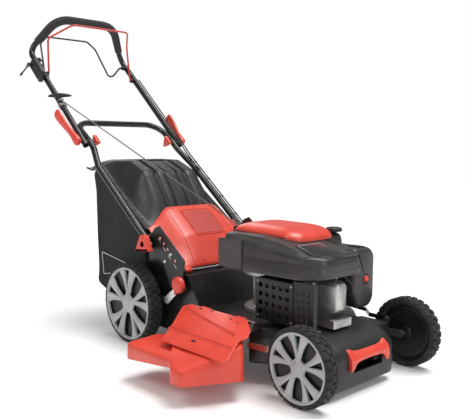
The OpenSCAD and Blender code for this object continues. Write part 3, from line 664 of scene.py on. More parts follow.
def draped(obj, slope):
    """The flat cap on top of a stack, cut finer and laid on the slope."""
    build = bmesh.new()
    build.from_mesh(obj.data)
    caps = [f for f in build.faces if len(f.verts) > 8]
    cap = max(caps, key=lambda f: f.calc_center_median().z)
    bmesh.ops.triangulate(build, faces=[cap])
    for _ in range(5):
        faces = {f for f in build.faces if f.normal.z > 0.9 and len(f.verts) < 5}
        long = [e for e in build.edges if e.calc_length() > CAP_EDGE
                and all(f in faces for f in e.link_faces)]
        bmesh.ops.subdivide_edges(build, edges=long, cuts=1)
        bmesh.ops.triangulate(build, faces=[f for f in build.faces if f.normal.z > 0.9])
        for v in build.verts:
            if all(f.normal.z > 0.9 for f in v.link_faces):
                v.co.z = between(v.co.x * 1000 + ROW_ORIGIN.x, slope) / 1000
    build.to_mesh(obj.data)
    build.free()
    return obj


def slotted(obj, boxes):
    return cut(obj, *[block("cutter", low, high) for low, high in boxes])


def screw(name, place, direction, radius, height, material="steel", body="chassis"):
    finish(disc(name, place, direction, [(0.01, height), (radius * 0.55, height),
                                         (radius * 0.85, height * 0.8), (radius, height * 0.45),
                                         (radius, -1), (0.01, -1)], 20), material, body, slot="bright_steel")


# ---------------------------------------------------------------- deck and body

COVER_TOP = [(-128, 154), (-95, 155), (-62, 153), (-30, 149), (0, 140), (20, 130), (32, 121), (40, 110),
             (43, 96)]


def make_front_cover():
    """Moulded front cover, rounded at both sides, with its finger recess."""
    stations = [-185, -184, -181, -176, -168, -150, -112, -108, -60, 0, 40, 77, 90, 99, 105, 110, 112]
    rings = []
    for y in stations:
        edge = max(0, abs(y + 36.5) - 113.5) / 35
        back = 16 * edge ** 2.5
        drop = 9 * edge ** 3
        ring = [(x - back * max(0, (x + 60) / 100), y, z - drop) for x, z in COVER_TOP]
        ring += [(44 - back, y, 60 - drop), (42 - back, y, 24), (38 - back, y, 21), (30 - back, y, 22),
                 (34 - back, y, 60), (-60, y, 60), (-124, y, 70)]
        rings.append(ring)
    cover = rings_mesh("front_cover_shell", rings)
    cover = bevelled(cover, 2.0, 2, 40)
    cover = slotted(cover, [((10, -82, 60), (70, 44, 92)), ((-140, -178, 5), (2, 108, 92))])
    finish(cover, "black", "chassis", "front_cover")
    finish(slotted(bevelled(block("axle_guard", (-128, 108, 60), (-30, 185, 130)), 6, 3),
                   [((-140, 112, 50), (-34, 181, 126))]), "black", "chassis", "front_cover")
    rib = rings_mesh("cover_rib", [[(x, y, between(x, COVER_TOP) + dz) for x, dz in
                                    ((-90, -2), (-90, 1.6), (-40, 1.6), (0, 1.6), (24, 1.2), (24, -2))]
                                   for y in (-150, -153)])
    finish(bevelled(rib, 0.8), "black")
    badge = [(-66, -150), (-66, -104), (-48, -104), (-48, -150)]
    for ends in zip(badge, badge[1:] + badge[:1]):
        finish(sweep("cover_badge", [(x, y, between(x, COVER_TOP) + 0.3) for x, y in ends], 0.9, 8), "print")


def make_grab_handle():
    """Red bar over the finger recess; its ends flare up and down."""
    rings = []
    for y, low, high in ((-102, 68, 122), (-99, 65, 124), (-93, 66, 124), (-87, 72, 122), (-80, 84, 118),
                         (-66, 89, 115), (-18, 90, 114), (30, 89, 115), (44, 84, 118), (51, 72, 122),
                         (57, 66, 124), (63, 65, 124), (66, 68, 122)):
        ring = []
        for u, v in ((0, 0), (0.75, 0), (1, 0.12), (1, 0.6), (0.55, 0.92), (-0.2, 1.0), (-0.9, 0.94)):
            z = low + v * (high - low)
            lean = max(0, (z - 104) / 20) * 14
            ring.append((42 + 12 * u - lean, y, z))
        rings.append(ring)
    finish(subdivided(rings_mesh("grab_handle", rings), 2), "red", "chassis", "front_grab_handle", angle=50)


FLAP_HALF = 186


def flap_point(u, v):
    """The rear flap's face: u from -1 to 1 across, v from 0 at the hinge to 1 at the far edge."""
    y = FLAP_HALF * u
    side = [(0, -540, 254), (0.10, -546, 259), (0.55, -612, 311), (0.93, -676, 362), (1, -686, 369)]
    crown = [(0, -532, 256), (0.10, -536, 266), (0.55, -598, 350), (0.93, -694, 424), (1, -706, 428)]
    sx, sz = between(v, [(t, x) for t, x, _ in side]), between(v, [(t, z) for t, _, z in side])
    cx, cz = between(v, [(t, x) for t, x, _ in crown]), between(v, [(t, z) for t, _, z in crown])
    edge = min(1, max(0, (abs(y) - 96) / 84))
    edge = edge * edge * (3 - 2 * edge) * 0.55 + edge * 0.45
    return (cx + (sx - cx) * edge, y, cz + (sz - cz) * edge)


def lie(u, v, lift):
    """A point lifted off the rear flap's face."""
    x, y, z = flap_point(u, v)
    return (x + 0.64 * lift, y, z + 0.77 * lift)


def make_rear_flap():
    across = [-1, -0.985, -0.95, -0.85, -0.75, -0.66, -0.60, -0.56, -0.52, -0.3, -0.1, 0.1, 0.3, 0.52, 0.56,
              0.60, 0.66, 0.75, 0.85, 0.95, 0.985, 1]
    along = [0, 0.03, 0.07, 0.10, 0.2, 0.35, 0.5, 0.54, 0.58, 0.7, 0.85, 0.91, 0.94, 0.97, 1]
    shell = thickened(sheet_mesh("rear_flap_shell", [[flap_point(u, v) for u in across] for v in along]), 4)
    parts = [bevelled(shell, 1.6, 2, 50)]
    for y in (-150, 150):
        knuckle = disc("knuckle", (FLAP_HINGE.x, y - 12, FLAP_HINGE.z), (0, 1, 0),
                       [(3.1, 0), (6.4, 0), (7, 0.8), (7, 23.2), (6.4, 24), (3.1, 24)], 32)
        arm = prism("arm", [(-546, 250), (-530, 246), (-528, 256), (-540, 262)], y - 12, y + 12)
        parts += [knuckle, bevelled(arm, 1)]
    finish(joined("rear_flap_body", parts), "red", "rear_door", "rear_flap", angle=38)
    # The grip recess's rim, its pad and the lower lip in darker red as painted shade, the creases, and the
    # two holes as black discs of painted shade
    recess = [(-0.33, 0.52), (0.33, 0.52), (0.33, 0.89), (-0.33, 0.89), (-0.33, 0.52)]
    rim = []
    for (u0, v0), (u1, v1) in zip(recess, recess[1:]):
        rim += [lie(u0 + (u1 - u0) * k / 6, v0 + (v1 - v0) * k / 6, 0.5) for k in range(6)]
    rim.append(rim[0])
    finish(sweep("flap_grip_rim", rim, 1.8, 8), "red", "rear_door")
    inner = [[lie(-0.31 + 0.62 * i / 6, 0.54 + 0.33 * j / 4, 0.7) for i in range(7)] for j in range(5)]
    finish(thickened(sheet_mesh("flap_grip_recess_shade", inner), 0.8, 0), "red_painted_shade", "rear_door")
    lip = [[lie(-0.9 + 1.8 * i / 18, 0.005 + 0.05 * j / 2, 1.2) for i in range(19)] for j in range(3)]
    finish(thickened(sheet_mesh("flap_lower_lip_shade", lip), 1.5, 0), "red_painted_shade", "rear_door")
    for u in (-0.62, 0.62):
        finish(sweep("flap_crease", [lie(u * (1 - 0.1 * k / 8), 0.10 + 0.84 * k / 8, 0.0)
                                     for k in range(9)], 1.3, 8), "red", "rear_door")
    # The holes are black discs: painted shade where the flap is open
    for u in (-0.42, -0.02):
        finish(disc("flap_hole_shade", lie(u, 0.12, -0.6), (0.77, 0, 0.64),
                    [(0.01, 1.5), (2.6, 1.5), (3.2, 1.0), (3.2, 0)], 20), "black", "rear_door")


SIDE_FLAP_TILT = radians(23)


def side_point(x, out, up=0.0):
    """A point on the side flap: out from its hinge along the slope, up square to it."""
    return (x, SIDE_HINGE.y - out * cos(SIDE_FLAP_TILT) - up * sin(SIDE_FLAP_TILT),
            SIDE_HINGE.z - out * sin(SIDE_FLAP_TILT) + up * cos(SIDE_FLAP_TILT))


def make_side_flap():
    outline = softened([(-400, 2), (-418, 20), (-374, 100), (-346, 163), (-110, 164), (-100, 150), (-130, 80),
                        (-116, 64), (-132, 34), (-160, 14), (-175, 2)], 6, 4)
    levels = [(1.5, 1.9), (0.5, 2.2), (0, 3), (0, 5.2), (0.6, 6.0), (1.6, 6.4)]
    parts = [stack("side_flap_plate", outline, levels, side_point)]
    for x in (-355, -215):
        parts.append(disc("knuckle", (x, SIDE_HINGE.y, SIDE_HINGE.z), FORWARD,
                          [(3.1, 0), (5.4, 0), (6, 0.8), (6, 29.2), (5.4, 30), (3.1, 30)], 28))
    finish(joined("side_flap_body", parts), "red", "side_door", "side_flap")
    # The grooves are darker red lines laid on the plate beside each ridge: painted shade
    for name, material, up, radius, steps, lines in (
            ("side_flap_groove_shade", "red_painted_shade", 6.3, 1.5, 8, ((-404, 22, -158, 66), (-372, 108, -126, 112))),
            ("side_flap_ridge", "red", 5.6, 2.6, 10, ((-398, 27, -156, 72), (-370, 114, -124, 118)))):
        for x0, out0, x1, out1 in lines:
            route = [side_point(x0, out0, up), side_point(x1, out1, up)]
            finish(sweep(name, route, radius, steps), material, "side_door")
    # The slots are black blocks: painted shade where the flap is open
    for x, out, long, wide in ((-350, 10, 10, 5), (-303, 8, 6, 5), (-221, 18, 6, 5), (-190, 24, 6, 5),
                               (-249, 130, 16, 7)):
        outline = softened([(x - long / 2, out - wide / 2), (x + long / 2, out - wide / 2),
                            (x + long / 2, out + wide / 2), (x - long / 2, out + wide / 2)], 2.5, 3)
        finish(stack("side_flap_slot_shade", outline, [(0, 4), (0, 6.9), (0.5, 7.1)], side_point),
               "black", "side_door")


CHUTE_PLAN = [(-200, -238), (-113, -318), (-186, -462), (-225, -462), (-252, -440), (-442, -440),
              (-449, -330), (-406, -300), (-400, -238)]


CHUTE_ROOF = [(240, 163), (330, 140), (462, 92)]
CHUTE_STEP = [(-430, 106), (-300, 112), (-255, 118), (-240, 170)]
CHUTE_FOOT = [(-420, 60), (-336, 68), (-235, 84)]


def chute_top(x, y):
    """Height of the chute's roof: it falls away from the deck, and steps down behind."""
    roof = between(-y, CHUTE_ROOF)
    return min(roof, between(x, CHUTE_STEP)) if y < -300 else roof


def chute_foot(x):
    return 54 if x > -235 else between(x, CHUTE_FOOT)


def make_chute():
    outline = softened(CHUTE_PLAN, 12, 4)
    rings = [[(a, b, chute_foot(a) + t * (chute_top(a, b) - chute_foot(a)))
              for a, b in shrunk(outline, inset)]
             for inset, t in ((0, 0.0), (0, 0.5), (1.2, 0.9), (4, 0.98), (9, 1.0))]
    shell = rings_mesh("chute_shell", rings, ends=False)
    build = bmesh.new()
    build.from_mesh(shell.data)
    edges = [e for e in build.edges if len(e.link_faces) == 1 and min(v.co.z for v in e.verts) > 0.085]
    bmesh.ops.triangle_fill(build, edges=edges, use_beauty=True)
    build.to_mesh(shell.data)
    build.free()
    shell = thickened(shell, 3)
    finish(shell, "red", "chassis", "discharge_chute", angle=40)
    # A darker red line along the chute: painted shade in its groove
    finish(sweep("chute_groove_shade", [(-180, -456, 84), (-224, -456, 84), (-250, -436, 86),
                                  (-436, -436, 88)], 1.6, 8), "red_painted_shade")


def make_deck_details():
    """Pressed ring and ribs on the deck, the bright strip, brackets and screws."""
    finish(disc("deck_ring", (AXIS_X, 0, 150), UP,
                [(196, -0.5), (196, 1.2), (193, 3.0), (184, 3.0), (181, 1.2), (181, -0.5)], 96), "deck")
    flange = prism("side_flange", [(-388, 150), (-388, 156), (-160, 156), (-160, 150)], -243, -205)
    finish(bevelled(flange, 1), "deck")
    lip = disc("deck_lip", (AXIS_X, 0, 58), UP, [(232, 0), (236.5, 0), (238, 1.5), (236.5, 3), (232, 3)], 96)
    lip = slotted(lip, [((-410, -260, 40), (-190, -150, 80)), ((-620, -180, 40), (-400, 180, 80))])
    finish(lip, "deck")
    strip = prism("height_strip_right", softened([(-178, 108), (-178, 124), (-104, 128), (-100, 112)], 4, 3),
                  -243, -240)
    finish(bevelled(strip, 0.6), "steel")
    for angle in (50, 95, 140, 200, 250):
        x, y = AXIS_X + 212 * cos(radians(angle)), 212 * sin(radians(angle))
        screw("deck_bolt", (x, y, 150), UP, 6, 4, "zinc")


def make_knob():
    knob = disc("height_knob_ball", (-490, -209, 220), (0, -1, 0),
                [(0.01, 0), (9, 0), (11, 2), (20, 3), (24, 6), (25, 11), (24, 17), (20, 21), (13, 22.6),
                 (0.01, 23)], 48)
    neck = sweep("neck", [(-498, -214, 208), (-512, -214, 190)], [9, 6], 16)
    finish(joined("height_knob_body", [knob, neck]), "red", "rear_crank", "height_knob", angle=50)


def make_locks():
    for side in (-1, 1):
        outline = softened([(-690, 298), (-613, 305), (-636, 352), (-664, 352)], 5, 4)
        wing = stack("handle_lock", outline, [(2, 219.6), (0, 221), (0, 232), (2, 235), (7, 236)],
                     lambda a, b, y: (a, side * y, b))
        cap = disc("lock_cap", (LOWER_PIVOT.x, side * 232, LOWER_PIVOT.z), (0, side, 0),
                   [(0.01, 4), (9, 4), (11, 2.6), (11, -3)], 32)
        finish(joined(f"handle_lock_{'left' if side > 0 else 'right'}", [wing, cap]),
               "red", "chassis", "handle_locks")
        for k in range(4):
            x, z = -612 + 26 * k, 350 - 23 * k
            corners = [(x - 7, z - 5), (x + 7, z - 17), (x + 4, z - 22), (x - 10, z - 10)]
            strip = rings_mesh("bracket_slot", [[(a, side * y, b) for a, b in corners]
                                                for y in (BRACKET_Y, BRACKET_Y + 1.5)])
            finish(bevelled(strip, 0.6), "zinc", slot="bright_steel")
        for x, z in ((-585, 275), (-530, 215), (-556, 300)):
            screw("bracket_screw", (x, side * BRACKET_Y, z), (0, side, 0), 6, 4.5)


# ---------------------------------------------------------------- engine

COWL_PLAN = [(-398, -112), (-378, -150), (-76, -150), (-28, -108), (-28, 44), (-166, 44), (-166, 150),
             (-378, 150), (-398, 112)]
COWL_SLOPE = [(-400, 375), (-380, 382), (-262, 384), (-190, 378), (-130, 364), (-80, 350), (-28, 343)]
COWL_FOOT = [(-398, 282), (-300, 279), (-210, 279), (-28, 291)]


def make_cowl():
    outline = softened(COWL_PLAN, 22, 6)
    rings = []
    for inset, t in ((0, 0), (0, 0.02), (0, 0.30), (1.5, 0.33), (2, 0.70), (3.5, 0.84), (7, 0.94),
                     (12, 0.985), (17, 1.0)):
        rings.append([(a, b, between(a, COWL_FOOT) + t * (between(a, COWL_SLOPE) - between(a, COWL_FOOT)))
                      for a, b in shrunk(outline, inset)])
    cowl = draped(rings_mesh("engine_cowl_shell", rings), COWL_SLOPE)
    cowl = slotted(cowl, [((-385, -138, 200), (-86, 30, 338)), ((-110, -96, 200), (-42, 30, 332)),
                          ((-385, -20, 200), (-180, 138, 338))])
    finish(cowl, "cowl", "chassis", "engine_cowl", angle=42)
    # Label plate, side panel, vents as dark strips of painted shade, and ridges
    plate = softened([(-142, -108), (-142, -6), (-60, -2), (-60, -120)], 8, 4)
    finish(stack("cowl_label", plate, [(0, 0), (0, 1.6), (1.2, 2.2)],
                 lambda a, b, h: (a, b, between(a, COWL_SLOPE) - 0.8 + h)), "label_and_vent_shade")
    frame_line = [(-134, -100), (-134, -14), (-68, -10), (-68, -110), (-134, -100)]
    finish(sweep("cowl_label_line", [(a, b, between(a, COWL_SLOPE) + 1.4) for a, b in frame_line], 0.7, 6),
           "print")
    panel = softened([(-391, 284), (-391, 366), (-296, 372), (-296, 282)], 7, 4)
    finish(stack("cowl_side_panel", panel, [(0, -147), (0, -152), (2, -154), (4, -154.5)], in_xz), "cowl")
    # Vents: dark strips of painted shade in the cowl's slots
    for k in range(5):
        x = -52 + 4.5 * k
        finish(prism("cowl_vent_shade", softened([(x - 1.4, -70 + 2 * k), (x - 1.4, 30), (x + 1.4, 30),
                                            (x + 1.4, -70 + 2 * k)], 1.2, 3),
                     between(x, COWL_SLOPE) - 3, between(x, COWL_SLOPE) + 0.35, in_xy), "label_and_vent_shade")
    for z in (318, 341):
        finish(sweep("cowl_ridge", rounded_route([(-394, -100, z - 2), (-376, -149.5, z - 2),
                                                  (-78, -149.5, z + 8), (-29, -106, z + 8),
                                                  (-28.5, 30, z + 8)], 14), 1.3, 8), "cowl")


def make_top_cover():
    outline = softened([(-412, -60), (-388, -94), (-176, -94), (-150, -64), (-150, 64), (-176, 94),
                        (-388, 94), (-412, 60)], 34, 6)
    middle = (-285, 0)
    rings = []
    for size, t in ((0.985, -0.02), (1, 0.0), (1, 0.16), (0.985, 0.27), (0.95, 0.40), (0.90, 0.53),
                    (0.82, 0.67), (0.70, 0.81), (0.55, 0.91), (0.36, 0.97), (0.16, 1.0), (0.02, 1.0)):
        ring = []
        for a, b in outline:
            x, y = middle[0] + (a - middle[0]) * size, middle[1] + (b - middle[1]) * size
            low = between(x, COWL_SLOPE) + 0.6
            ring.append((x, y, low + (410 - low) * t))
        rings.append(ring)
    finish(rings_mesh("top_cover_shell", rings), "red", "chassis", "top_cover", angle=50)
    line = [(a, b, between(a, COWL_SLOPE) + 0.6) for a, b in outline + outline[:1]]
    finish(sweep("top_cover_seam", line, 1.3, 6), "label_and_vent_shade")


def make_rope_outlet():
    outlet = softened([(-452, 362), (-452, 382), (-444, 387), (-396, 387), (-396, 300), (-412, 300)], 4, 3)
    finish(stack("rope_outlet", outlet, [(3, -38), (0, -34), (0, 22), (3, 26)], in_xz),
           "black", slot="cowl_plastic")
    eye = disc("rope_eye", (-450, -6, 377), (-1, 0, 0.3), [(2.4, -3), (2.4, 3), (5, 4), (7, 3), (8, -3)], 24)
    finish(eye, "zinc")


def make_fuel_cap():
    rings = []
    for i in range(72):
        turn = tau * i / 72
        rib = 1.4 * (1 if i % 6 < 3 else 0)
        rings.append([(-187 + r * cos(turn), 121 + r * sin(turn), z - 5) for r, z in
                      ((0.01, 399.5), (11, 399.5), (13, 398.4), (19, 398.6), (21 + rib, 397), (23 + rib, 394),
                       (23 + rib, 387.4), (21, 386.6))])
    finish(rings_mesh("fuel_cap_body", rings, closed=False, loop=True), "black", "fuel_cap", "fuel_cap")


def make_air_filter():
    outline = softened([(52, 222), (72, 180), (128, 176), (150, 200), (150, 330), (130, 350), (52, 350)],
                       14, 5)
    levels = [(0, -162), (0, -110), (1.2, -108), (1.2, -105), (0, -103), (0, -74), (3, -65), (8, -60),
              (16, -58)]
    finish(stack("air_filter_shell", outline, levels, in_yz), "cowl", "chassis", "air_filter_cover", angle=42)
    finish(disc("primer_ring", (-60, 104, 262), FORWARD,
                [(10, -2), (10, 2.6), (14, 3.2), (16.5, 1.5), (16.5, -2)], 40), "black")
    finish(disc("primer_bulb_body", (-64, 104, 262), FORWARD,
                [(9.4, -1), (9.4, 4), (8.8, 7.5), (7, 10.4), (4, 12), (0.01, 12.5)], 36),
           "red", "primer", "primer_bulb", angle=60)
    # The vents are dark strips: painted shade in the filter cover's slots
    for k in range(6):
        z = 300 + 7 * k
        finish(bevelled(block("filter_vent_shade", (-70, 68, z), (-58.4, 132, z + 2.6)), 0.7), "label_and_vent_shade")
    clip = softened([(-110, 348), (-70, 348), (-70, 352.5), (-110, 352.5)], 2, 3)
    finish(prism("filter_clip", clip, 88, 112), "black")


def make_rocker_cover():
    outline = softened([(-67, 202), (-59, 190), (-18, 190), (-10, 200), (-10, 266), (-20, 278), (-57, 278),
                        (-67, 266)], 5, 3)
    levels = [(0, -119), (0, -102), (2.4, -101), (2.4, -98), (0.5, -97), (0.5, -54), (2.4, -46), (6, -37),
              (10, -32), (13, -30.5)]
    finish(stack("rocker_cover_shell", outline, levels, in_yz), "alloy", "chassis", "rocker_cover", angle=30)
    for y, z in ((-60, 198), (-17, 198), (-17, 270), (-60, 270)):
        screw("rocker_bolt", (-96.5, y, z), FORWARD, 4.5, 4)
    rib = prism("rocker_rib", [(-94, 276), (-94, 279.5), (-50, 279.5), (-46, 276)], -41, -37)
    finish(bevelled(rib, 0.8), "alloy")
    shield = softened([(-178, -80), (-38, -80), (-24, -68), (-24, -12), (-38, 0), (-178, 0)], 6, 3)
    finish(stack("engine_tray", shield, [(0, 176), (0, 178.6), (1, 180)]), "zinc")


def make_engine_details():
    fin = softened([(-214, -72), (-124, -72), (-124, 34), (-214, 34)], 10, 3)
    for k in range(9):
        z = 196 + 8.2 * k
        finish(stack("cylinder_fin", fin, [(0, z), (0, z + 2.2)]), "alloy")
    finish(disc("crankcase_collar", (AXIS_X, 0, 262), UP,
                [(70, -4), (98, -4), (101, -1), (101, 8), (97, 14), (90, 16.5), (70, 16.5)], 72), "alloy")
    for k in range(12):
        turn = tau * k / 12
        x, y = AXIS_X + 69 * cos(turn), 69 * sin(turn)
        finish(sweep("crankcase_rib", [(x, y, 168), (x, y, 256)], 3.2, 8), "alloy")
    for angle in (30, 150, 270):
        turn = radians(angle)
        screw("engine_bolt", (AXIS_X + 84 * cos(turn), 84 * sin(turn), 166.8), UP, 8, 5)
    plug = rounded_route([(-60, 0, 232), (-34, 6, 236), (-26, 0, 262), (-44, -20, 292), (-70, -50, 300)], 16)
    finish(sweep("plug_lead", plug, 3.4, 12), "rubber")
    tube = rounded_route([(-150, 44, 172), (-132, 52, 190), (-126, 54, 230), (-122, 54, 272)], 20)
    finish(sweep("dipstick_tube", tube, 5, 14), "steel")
    for y in (-66, -72):
        bar = rounded_route([(-104, y, 168), (-100, y, 186), (-100, y, 252), (-106, y, 268)], 8)
        finish(sweep("bracket_bar", bar, 2.2, 10), "steel")
    finish(bevelled(block("carburettor", (-160, 56, 214), (-120, 88, 262)), 3), "alloy")


def make_guard_details():
    for x, z in ((-224, 172), (-224, 268), (-104, 172), (-104, 268)):
        screw("guard_screw", (x, -158, z), (0, -1, 0), 4, 2.5, "zinc")
    for z in (182, 206, 230, 254):
        finish(sweep("muffler_rib", [(-208, -141, z), (-122, -141, z)], 2.4, 8), "hot_steel")


# ---------------------------------------------------------------- handle


def make_foam_grip():
    low = UPPER_BEND + 0.27 * (UPPER_CORNER - UPPER_BEND)
    far_low, far_corner = (Vector((p.x, -p.y, p.z)) for p in (low, UPPER_CORNER))
    route = rounded_route([low, UPPER_CORNER, far_corner, far_low], 62, 12)
    radii = [14.5] + [16] * (len(route) - 2) + [14.5]
    finish(sweep("foam_sleeve", route, radii, 28), "foam", "upper_frame", "foam_grip", angle=50)


def clamp_point(along, out, up):
    """A point of the left clamp: along the leg, outwards, and square to both."""
    return CLAMP + along * UPPER_DIR + Vector((0, out, 0)) + up * UPPER_UP


def make_cam_levers():
    stations = [(-12, 222, 240, 13), (-4, 220, 243, 16), (8, 221, 244, 16), (26, 224, 243, 14),
                (44, 229, 243, 12), (66, 234, 247, 13), (90, 238, 251, 15), (112, 240, 254, 18),
                (134, 241, 255, 19), (148, 242, 255, 18), (153, 244, 254, 13)]
    for side, name in ((1, "left"), (-1, "right")):
        rings = []
        for along, near, far, half in stations:
            ring = []
            for u, v in ((-1, -0.55), (-0.6, -1), (0.6, -1), (1, -0.55), (1, 0.55), (0.6, 1), (-0.6, 1),
                         (-1, 0.55)):
                p = clamp_point(along, (near + far) / 2 + (far - near) / 2 * v, half * u)
                ring.append((p.x, side * p.y, p.z))
            rings.append(ring)
        finish(subdivided(rings_mesh(f"cam_lever_body_{name}", rings), 2),
               "red", f"cam_{name}", f"cam_lever_{name}", angle=55)
        star = []
        for i in range(60):
            turn = tau * i / 60
            r = 15 + 9 * max(0, cos(3 * turn + 0.6)) ** 1.5
            star.append([(CLAMP.x + q * r * cos(turn), side * y, CLAMP.z + q * r * sin(turn))
                         for q, y in ((0.2, 151), (0.85, 151.5), (1, 154), (1, 162), (0.9, 165), (0.4, 167))])
        knob = rings_mesh(f"star_nut_{name}", star, closed=False, loop=True)
        shaft = sweep("cam_bolt", [(CLAMP.x, side * 152, CLAMP.z), (CLAMP.x, side * 231, CLAMP.z)], 4, 16)
        painted(knob, "red")
        painted(shaft, "steel")
        finish(joined(f"clamp_bolt_{name}", [knob, shaft]),
               None, "lower_frame", "clamp_bolts", slot="red_plastic", angle=50)


def make_control_box():
    middle = tube_point(-1322, -UPPER_Y)

    def place(along, up, out):
        return tuple(middle + along * UPPER_DIR + up * UPPER_UP + Vector((0, -out, 0)))

    outline = softened([(-50, -16), (50, -16), (50, 18), (30, 30), (-40, 30), (-50, 20)], 7, 4)
    shell = stack("control_box_shell", outline, [(3, 11.6), (0, 13), (0, 25), (3, 28.5), (8, 29.4)], place)
    slot_outline = softened([(-30, 4), (30, 4), (30, 11), (-30, 11)], 3, 4)
    gate = stack("throttle_gate", slot_outline, [(0, 28), (0, 29.8)], place)
    painted(shell, "black")
    painted(gate, "label_and_vent_shade")
    parts = [shell, gate]
    for along in (-34, 34):
        parts.append(painted(disc("strap", place(along, 0, 0), UPPER_DIR,
                                  [(11.1, -6), (13.6, -6), (13.6, 6), (11.1, 6)], 32), "black"))
    finish(joined("control_box_body", parts), None, "upper_frame", "control_box",
           slot="black_plastic", angle=40)
    for along, up in ((-40, -8), (40, -8)):
        screw("control_screw", place(along, up, 28.6), (0, -1, 0), 3, 1.6, "zinc", body="upper_frame")
    pivot = Vector((-1352, -243, 926))
    tip = Vector((-1424, -243, 890))
    steps = [(0.0, 7.5), (0.15, 5.5), (0.3, 3), (0.7, 2.6), (0.85, 4.5), (1.0, 3.8), (1.04, 1.5)]
    finish(sweep("throttle_arm", [pivot + t * (tip - pivot) for t, _ in steps], [r for _, r in steps], 16),
           "black", "throttle", "throttle_lever", angle=60)
    for side in (-1, 1):
        for x in (-1312, -1375):
            p = tube_point(x, side * UPPER_Y)
            finish(disc("bail_bush", (p.x, side * 186, p.z), (0, side, 0),
                        [(3.7, 0), (8, 0), (9, 2), (9, 8), (3.7, 8)], 24), "black", "upper_frame")


GUIDE_EYE = Vector((-1172, -214, 788))
PULL = Vector((-0.3, -0.1, 0.95)).normalized()
GRIP_BAR = Vector((0.5, 0.85, 0.05)).normalized()
GRIP_RISE = 17
GRIP_HALF = 42


def make_starter_grip():
    middle = GUIDE_EYE + GRIP_RISE * PULL
    rings = []
    for t in (-1, -0.97, -0.85, -0.6, -0.3, 0, 0.3, 0.6, 0.85, 0.97, 1):
        size = (1 - abs(t) ** 6 * 0.75) * (7.4 + 1.4 * cos(t * pi))
        centre = middle + GRIP_HALF * t * GRIP_BAR - PULL * 3.0 * t * t
        across = GRIP_BAR.cross(PULL).normalized()
        rings.append([tuple(centre + size * 0.95 * (cos(tau * k / 20) * across + sin(tau * k / 20) * PULL))
                      for k in range(20)])
    bar = rings_mesh("grip_bar", rings)
    neck = sweep("grip_neck", [GUIDE_EYE + 4 * PULL, GUIDE_EYE + 8 * PULL, middle], [4.6, 6, 7], 18)
    finish(joined("starter_grip_body", [bar, neck]), "black", "pull_grip", "starter_grip", angle=50)


CABLE_RADIUS = 2.5
ROPE_RADIUS = 2
TUBE_DOWN = Vector((0.78, 0, -0.62))


def line_piece(name, route, radius, material, *nodes):
    """A cable or rope, painted and smoothed."""
    piece = painted(sweep(name, route, radius, 12), material)
    piece.data.shade_smooth()
    if nodes:
        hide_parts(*nodes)
    return piece


def make_cables():
    """Each cable in pieces, some of which ride on one body."""
    brake = [(-1290, 213, 895), (-1100, 213, 725), (-960, 214, 594), (-660, 214, 354), (-590, 214, 334),
             (-500, 206, 300), (-420, 168, 276), (-396, 152, 274)]
    drive = [(-1360, 202, 957.5), (-1100, 202, 725), (-960, 202, 594), (-660, 202, 354), (-600, 204, 328),
             (-560, 204, 262), (-548, 202, 200)]
    for name, route in (("brake_cable", brake), ("drive_cable", drive)):
        cuts = [(route[0], route[1], "upper_frame", None), (route[1], route[2], "lower_frame", "upper_frame"),
                (route[2], route[3], "lower_frame", None)]
        for k, (start, end, body, other) in enumerate(cuts):
            line = [Vector(start).lerp(Vector(end), i / 12) for i in range(13)]
            piece = line_piece(f"{name}_{k}", line, CABLE_RADIUS, "rubber", name)
            if other:
                at(*start)
                at(*end)
                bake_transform(piece)
            else:
                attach(piece, body)
        piece = line_piece(f"{name}_tail", rounded_route(route[3:], 28, 8), CABLE_RADIUS, "rubber")
        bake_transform(piece)
        for k in range(4):
            point = Vector(route[2]).lerp(Vector(route[3]), 0.12 + 0.25 * k)
            finish(disc("cable_tie", point - 3 * TUBE_DOWN, TUBE_DOWN,
                        [(2.6, 0), (3.4, 0), (3.4, 6), (2.6, 6)], 16), "black", "lower_frame")


ROPE_START = Vector((-446, -6, 378))


def make_starter_rope():
    """Taut line from the engine to the guide, in two halves."""
    middle = ROPE_START.lerp(GUIDE_EYE, 0.42)
    for name, start, end, bodies in (
            ("starter_rope_low", ROPE_START, middle, ("chassis", "lower_frame")),
            ("starter_rope_high", middle, GUIDE_EYE, ("lower_frame", "upper_frame"))):
        line = [start.lerp(end, i / 24) for i in range(25)]
        rope = line_piece(name, line, ROPE_RADIUS, "cord", "starter_rope")
        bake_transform(rope)
        [at(*p) for p in line]


# ---------------------------------------------------------------- grass bag

LID_EDGE = [(-1052, 548), (-1012, 540), (-985, 560), (-880, 488), (-780, 420), (-694, 362)]
LID_CROWN = [(-1052, 570), (-1000, 577), (-900, 575), (-812, 540), (-748, 452), (-700, 372), (-694, 366)]
BAG_SIDE = [(-700, 205), (-845, 176), (-930, 127), (-985, 149), (-978, 200), (-986, 330), (-990, 470),
            (-1004, 528), (-985, 548), (-850, 455), (-700, 352)]


def lid_height(x, y):
    edge, crown = between(x, LID_EDGE), between(x, LID_CROWN)
    side = min(1, max(0, (abs(y) - 108) / 54))
    height = crown + (edge - crown) * side ** 1.25
    channel = max(0, 1 - abs(abs(y) - 62) / 9) + max(0, 1 - abs(abs(y) - 26) / 6) * (0 if x < -850 else 1)
    deep = between(x, [(-1040, 0), (-1020, 1), (-735, 1), (-715, 0)])
    recess = (1 if abs(y) < 38 else max(0, 1 - (abs(y) - 38) / 5)) * \
        between(x, [(-975, 0), (-968, 1), (-902, 1), (-895, 0)])
    return height - 15 * min(1, channel) * deep - 28 * recess


